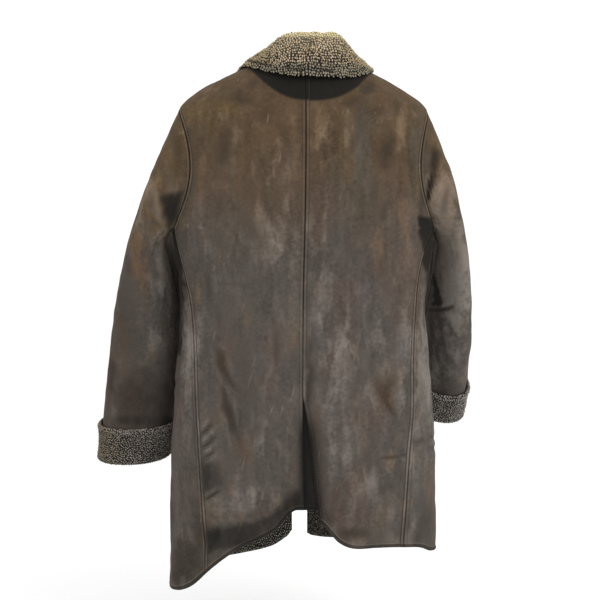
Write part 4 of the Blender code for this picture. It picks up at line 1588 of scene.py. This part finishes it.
def suede_wear_and_shade(finish, colour, cloud, ragged):
    """The suede's colour with its scratches, specks and pits, its seams and hem, and its deep shade."""
    scratch = finish.noise(210.0, 2.0, 11.0, -14.0).smooth(0.66, 0.72) * cloud.smooth(0.48, 0.64)
    seam = finish.attribute("seam")
    hem = finish.attribute("hem")
    high = 0.45 + 0.42 * finish.height().smooth(-0.62, -0.36)
    hidden = (finish.attribute("shadow") + 0.30 * ragged).smooth(0.10, 0.90)
    return finish.layered(
        colour,
        # Scratches, specks and pits of the nap.
        (0.28, scratch, rgb(140, 126, 108)),
        (0.22, finish.noise(420.0, 2.0).smooth(0.62, 0.76), rgb(138, 124, 104)),
        (0.35, finish.noise(300.0, 3.0).smooth(0.60, 0.78), rgb(40, 34, 30)),
        # The paler band, the topstitch's groove, and the seam line, deeper higher up.
        (0.08, seam.band(0.0014, 0.0026, 0.0042, 0.0060), rgb(128, 116, 102)),
        (0.42, seam.band(0.0052, 0.0063, 0.0063, 0.0074), rgb(36, 31, 27)),
        (high, 1.0 - seam.smooth(0.0008, 0.0023), rgb(24, 20, 17)),
        # The piping beside the hem, its rolled edge, and the deep shade.
        (0.30, hem.band(0.0066, 0.0076, 0.0078, 0.0088), rgb(124, 116, 102)),
        (0.70, 1.0 - hem.smooth(0.0052, 0.0070), rgb(34, 31, 28)),
        (0.96, hidden, rgb(18, 19, 18)),
    )


def suede():
    """Brushed suede: warm at the shoulders, greyer below, mottled, short nap, seams, painted shade and
    light.
    """
    finish = Finish("brown_faux_suede")
    broad = finish.noise(8.0, 3.0, 2.0)
    cloud = finish.noise(30.0, 4.0, 1.8)
    brush = finish.noise(75.0, 3.0, 6.0)
    slant = finish.noise(70.0, 3.0, 5.0, 24.0)
    fleck = finish.noise(150.0, 4.0)
    nap = finish.noise(900.0, 3.0)
    upper = (finish.height() + 0.20 * broad - 0.10).smooth(-0.40, -0.12)
    hue = finish.noise(13.0, 2.0, 2.2)
    facets = 0.5 * finish.facets(24.0, 2.6, broad) + 0.5 * finish.facets(62.0, 2.2, cloud)
    ragged = 0.70 * cloud + 0.70 * brush + 0.50 * slant + 0.55 * fleck + 0.75 * facets - 1.600
    # The placed tones carry painted shade and painted light as well as the suede's own mottling.
    masks = {tone: (finish.attribute(tone) + 0.75 * ragged).smooth(0.04, 0.96) for tone in TONES[:-1]}
    colour = finish.layered(
        finish.mix(upper, rgb(90, 83, 78), rgb(91, 73, 52)),
        (0.40, hue.smooth(0.45, 0.70), rgb(84, 80, 70)),
        (0.40, 1.0 - hue.smooth(0.30, 0.52), rgb(98, 79, 66)),
        (0.62, masks["grey"], rgb(83, 81, 78)),
        (0.75, masks["gold"], rgb(104, 85, 56)),
        (0.70, masks["warm"], rgb(104, 82, 64)),
        (0.82, masks["light"], finish.mix(upper, rgb(136, 129, 122), rgb(134, 114, 92))),
        (0.78, masks["dark"], rgb(50, 43, 36)),
    )
    tone = 0.16 * broad + 0.26 * cloud + 0.36 * brush + 0.18 * slant + 0.50 * fleck + 0.34 * facets - 0.19
    colour = suede_wear_and_shade(finish, finish.scaled(colour, tone), cloud, ragged)
    relief = finish.bump(cloud + 0.5 * fleck + 0.4 * brush, 0.0020, 0.5)
    relief = finish.bump(nap + 0.6 * finish.noise(420.0, 3.0), 0.0004, 0.7, relief)
    return finish.surface(
        Base_Color=colour, Roughness=0.93, Specular_IOR_Level=0.10, Normal=relief,
        Sheen_Weight=0.07, Sheen_Roughness=0.6, Sheen_Tint=rgb(190, 176, 160),
    )


def pile(name, light, dark, cream=None):
    """The ground of the pile, seen between the curls and inside the coat."""
    finish = Finish(name)
    cells = finish.node("ShaderNodeTexVoronoi", {"feature": "F1"}, {"Vector": finish.place, "Scale": 260.0})
    knots = 1.0 - cells.smooth(0.10, 0.75)
    tone = knots * (0.55 + 0.9 * finish.noise(60.0, 3.0))
    colour = finish.mix(tone.smooth(0.05, 0.95), dark, light)
    if cream is not None:
        # Painted highlight along the top of the collar's roll.
        colour = finish.mix(0.8 * finish.attribute("cream"), colour, cream)
    relief = finish.bump(knots, 0.0022, 0.9)
    return finish.surface(
        Base_Color=colour, Roughness=0.98, Specular_IOR_Level=0.05, Normal=relief,
        Sheen_Weight=0.10, Sheen_Roughness=0.7,
    )


def curly(name, root, body, tip, tints):
    """Curled fibres: dark at the root, paler at the tip, each curl a little different."""
    finish = Finish(name)
    high = finish.attribute("tip").smooth(0.10, 0.62)
    shade = finish.attribute("shade")
    drift = finish.noise(34.0, 3.0)
    colour = finish.mix((0.55 * shade + 0.75 * drift).smooth(0.25, 0.95), body, tip)
    for key, tint in tints.items():
        colour = finish.mix(finish.attribute(key), colour, tint)
    colour = finish.mix(1.0 - high, colour, root)
    fibres = finish.noise(2400.0, 2.0)
    colour = finish.scaled(colour, 0.70 + 0.60 * fibres)
    relief = finish.bump(fibres, 0.0003, 0.8)
    return finish.surface(
        Base_Color=colour, Roughness=0.95, Specular_IOR_Level=0.10, Normal=relief,
        Sheen_Weight=0.20, Sheen_Roughness=0.5, Sheen_Tint=rgb(230, 220, 200),
    )


def thread():
    """Waxed sewing thread, a little paler than the suede."""
    finish = Finish("tan_thread")
    twist = finish.noise(1800.0, 1.0)
    colour = finish.mix(twist, rgb(58, 51, 44), rgb(96, 87, 76))
    return finish.surface(Base_Color=colour, Roughness=0.8, Specular_IOR_Level=0.2,
                          Normal=finish.bump(twist, 0.0002, 0.6))


def floor_paint():
    finish = Finish("pale_floor")
    grain = finish.noise(3.0, 2.0)
    colour = finish.mix(grain, rgb(249, 249, 249), rgb(251, 251, 251))
    return finish.surface(Base_Color=colour, Roughness=0.9, Specular_IOR_Level=0.1)


# The studio.
FLOOR_DROP = 0.160
CAMERA_PLACE = (0.140, 2.196, -0.321)
CAMERA_TARGET = (0.006, 0.0, -0.431)
CAMERA_LENS = 72.6
SENSOR = 36.0
LIGHT_SIZE = 1.6
LIGHT_TARGET = (0.0, 0.0, -0.45)
LIGHTS = {"key": ((-1.4, 1.9, 1.5), 32.0), "fill": ((1.6, 1.9, 0.8), 3.5)}
WORLD_STRENGTH = 1.08
FLOOR_RADIUS = 30.0
FLOOR_SIDES = 64


def aimed(name, data, place, target):
    """A camera or a light at a place, turned towards a target."""
    made = placed(name, data)
    made.location = place
    made.rotation_euler = (Vector(target) - Vector(place)).to_track_quat("-Z", "Y").to_euler()
    return made


def camera():
    data = bpy.data.cameras.new("camera")
    data.lens = CAMERA_LENS
    data.sensor_width = SENSOR
    bpy.context.scene.camera = aimed("camera", data, CAMERA_PLACE, CAMERA_TARGET)


def area_light(name, place, power):
    data = bpy.data.lights.new(name, "AREA")
    data.size = LIGHT_SIZE
    data.energy = power
    aimed(name, data, place, LIGHT_TARGET)


def studio(lowest):
    camera()
    world = bpy.data.worlds.new("studio")
    world.use_nodes = True
    background = world.node_tree.nodes["Background"]
    background.inputs["Color"].default_value = (1.0, 1.0, 1.0, 1.0)
    background.inputs["Strength"].default_value = WORLD_STRENGTH
    bpy.context.scene.world = world
    bpy.context.scene.view_settings.view_transform = "Standard"
    for name, (place, power) in LIGHTS.items():
        area_light(name, place, power)
    mesh = bmesh.new()
    bmesh.ops.create_circle(mesh, cap_ends=True, segments=FLOOR_SIDES, radius=FLOOR_RADIUS)
    bmesh.ops.translate(mesh, vec=(0.0, 0.0, lowest), verts=mesh.verts)
    finished("floor", mesh, floor_paint())


# Tints of the pile by place: each is a soft step with a strength, a start and a reach, as for ease.
Step = namedtuple("Step", "strength start reach")
# The painted highlight along the top of the collar's roll: near its top, fainter lower down, only at the
# back.
ROLL_HIGHLIGHT_TOP = Step(0.76, 0.0285, 0.007)
ROLL_HIGHLIGHT_BELOW = Step(0.14, -0.006, 0.022)
ROLL_HIGHLIGHT_BEHIND = Step(1.0, 0.020, 0.030)
OLIVE_SIDES = Step(0.55, 0.030, 0.050)
OLIVE_MIDDLE = -0.005
GREY_LOW = Step(0.75, -0.008, -0.016)
TAN_OUTSIDE = Step(0.7, 0.300, 0.060)
PALE_CUFF = 0.40
# The lining inside the left front is painted paler, as painted light.
LINING_PAINTED_LIGHT = 0.50

# The gap above the collar's lowest row: its strength, place and width, and how it is broken up.
GAP = 0.90
GAP_AWAY = 0.0090
GAP_WIDTH = 0.0032
GAP_START = 0.60
GAP_SLOPE = 6.0
GAP_UNEVEN = (0.7, 0.050)


def stepped(value, step):
    return step.strength * ease(value, step.start, step.reach)


def painted_roll_highlight(points):
    """Painted highlight along the top of the collar's roll at the back, in a creamy tint."""
    y, z = points[..., 1], points[..., 2]
    return (stepped(z, ROLL_HIGHLIGHT_TOP) + stepped(z, ROLL_HIGHLIGHT_BELOW)) * stepped(y, ROLL_HIGHLIGHT_BEHIND)


def olive_ends(points):
    """The collar is more olive towards its ends."""
    return stepped(np.abs(points[:, 0] - OLIVE_MIDDLE), OLIVE_SIDES)


def grey_edge(points):
    """The lowest rows at the back of the collar are greyer."""
    return stepped(points[:, 2], GREY_LOW) * (points[:, 1] > 0.0)


def low_gap(line):
    """The shaded gap above the collar's lowest row, broken up by its unevenness."""
    height, size = GAP_UNEVEN

    def tint(points):
        rows = bell(distance(points, line), GAP_AWAY, GAP_WIDTH)
        uneven = height * ripple(points, size, SEEDS["gap"])
        broken = ease(GAP_START + GAP_SLOPE * points[:, 0] + uneven)
        return GAP * rows * broken * (points[:, 1] > 0.0)

    return tint


def outer_tan(points):
    """The cuffs are tan on their outer sides."""
    return stepped(np.abs(points[:, 0]), TAN_OUTSIDE)


def pale_right(points):
    """The right cuff is paler."""
    return PALE_CUFF * (points[:, 0] < 0.0)


def painted_light_left(points):
    """Painted light: the lining inside the left front is painted paler."""
    return LINING_PAINTED_LIGHT * (points[:, 0] > 0.0)


# The curls of each kind: where the lining's lie, their size, how they are turned alike, and the swelling
# along the cuffs' lips.
LINING_TOP = -0.775
LINING_CURL = 0.85
LINING_HEM_GAP = 0.002
LINING_EDGE_GAP = 0.003
CUFF_CURL = 0.90
CUFF_SLANT = -50.0
LIP_SWELL = 0.35
LIP_REACH = 0.006
COLLAR_CURL = 1.42
COLLAR_SLANT = 60.0


def hem_curls(cloth, finish):
    """Curls of the lining that show inside a front, near its hem."""
    inner = cloth.inner()
    clear = (cloth.hem_gap() > LINING_HEM_GAP) & (cloth.first > LINING_EDGE_GAP)
    low = (inner[..., 2] < LINING_TOP) & clear
    spots = scatter(inner, -cloth.normals, LINING_SPACING, SEEDS["lining_spots"], low)
    size = np.full(len(spots.points), LINING_CURL)
    return curls(cloth.name + "_lining", spots, size, SEEDS["lining_curls"], finish, {"pale": painted_light_left})


def cuff_curls(cloth, side, finish):
    """Curls all over a cuff, larger along its upper lip."""
    spots = scatter(cloth.outer(), cloth.normals, CUFF_SPACING, SEEDS["cuff_spots"] + side)
    lip = 1.0 + LIP_SWELL * bell(distance(spots.points, cloth.points[0]), 0.0, LIP_REACH)
    tints = {"tan": outer_tan, "pale": pale_right}
    seed = SEEDS["cuff_curls"] + side
    return curls(cloth.name + "_curls", spots, CUFF_CURL * lip, seed, finish, tints, CUFF_SLANT * side)


def collar_curls(cloth, finish):
    """Curls in uneven rows all over the collar."""
    spots = scatter(cloth.outer(), cloth.normals, COLLAR_SPACING, SEEDS["collar_spots"], rows=COLLAR_ROWS)
    tints = {"cream": painted_roll_highlight, "olive": olive_ends, "grey": grey_edge, "gap": low_gap(cloth.points[-1])}
    size = np.full(len(spots.points), COLLAR_CURL)
    return curls("collar_curls", spots, size, SEEDS["collar_curls"], finish, tints, COLLAR_SLANT)


def dressed(cloth, outside, inside, others=()):
    """Makes a sheet of cloth, attaches it and what is on it to the body's root, and hides the model's part.
    """
    piece = cloth.made(outside, inside)
    for thing in [piece, *others]:
        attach(thing, "root")
    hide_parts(cloth.name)


def stitched(cloth, gaps, finish):
    """The topstitches of a piece, in one mesh. Each gap comes with the axis that its line crosses."""
    outer = cloth.outer()
    spots = []
    for gap, axis, order in gaps:
        line = topstitch(outer[:, ::order], cloth.normals[:, ::order], gap[:, ::order], STITCH_AWAY, axis)
        spots.append(stitch_frames(*line))
    places = np.concatenate([spot for spot, _ in spots])
    frames = np.concatenate([way for _, way in spots])
    return repeated(cloth.name + "_stitches", thread_template(), places, frames, finish, {})


def panel_seams(cloth):
    """The gaps that a back's or a front's topstitches follow, with the axis and the order of each."""
    gaps = ((cloth.first, 1, 1), (cloth.seam_gap(), 1, -1), (cloth.hem_gap(), 0, 1))
    return gaps[int(cloth.name == UNSTITCHED_CENTRE):]


def body(outside, inside):
    """The backs, fronts, side panels, sleeves and cuffs."""
    ground = pile("pile_ground", rgb(44, 39, 32), rgb(14, 12, 10))
    cuff_tints = {"tan": rgb(134, 120, 98), "pale": rgb(176, 170, 162)}
    cuff_pile = curly("cuff_pile", rgb(18, 16, 14), rgb(104, 98, 91), rgb(150, 143, 134), cuff_tints)
    # The lining's pale tint is painted light inside the left front.
    pale = {"pale": rgb(196, 192, 170)}
    lining_pile = curly("lining_pile", rgb(46, 44, 37), rgb(98, 94, 81), rgb(130, 125, 108), pale)
    sewing_thread = thread()
    for side, word in SIDES:
        loop = armhole(side, LOOP_COLUMNS)
        cloth = back(side, word, loop)
        threads = stitched(cloth, panel_seams(cloth), sewing_thread)
        dressed(cloth, outside, inside, [threads])
        cloth = front(side, word, loop)
        others = [stitched(cloth, panel_seams(cloth), sewing_thread), hem_curls(cloth, lining_pile)]
        dressed(cloth, outside, inside, others)
        cloth = side_panel(side, word, loop)
        threads = stitched(cloth, ((cloth.hem_gap(), 0, 1),), sewing_thread)
        dressed(cloth, outside, inside, [threads])
        dressed(sleeve(side, word, loop), outside, inside)
        cloth = cuff(side, word, loop)
        dressed(cloth, ground, ground, [cuff_curls(cloth, side, cuff_pile)])


def collar_and_underlap(outside, inside):
    # The creamy painted highlight along the top of the collar's roll.
    cream = rgb(222, 209, 164)
    ground = pile("collar_ground", rgb(50, 43, 33), rgb(16, 13, 10), cream)
    tints = {"cream": cream, "olive": rgb(150, 136, 102), "grey": rgb(122, 118, 104)}
    tints["gap"] = rgb(30, 28, 24)
    collar_pile = curly("collar_pile", rgb(26, 22, 16), rgb(132, 114, 92), rgb(184, 165, 139), tints)
    cloth = collar()
    cloth.attributes["cream"] = painted_roll_highlight(cloth.points)
    dressed(cloth, ground, ground, [collar_curls(cloth, collar_pile)])
    dressed(underlap(), outside, inside)


def main():
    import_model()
    cad_low, cad_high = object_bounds()
    outside = suede()
    inside = pile("inside_pile", rgb(74, 70, 61), rgb(22, 20, 17))
    body(outside, inside)
    collar_and_underlap(outside, inside)
    studio(cad_low.z - FLOOR_DROP)


main()
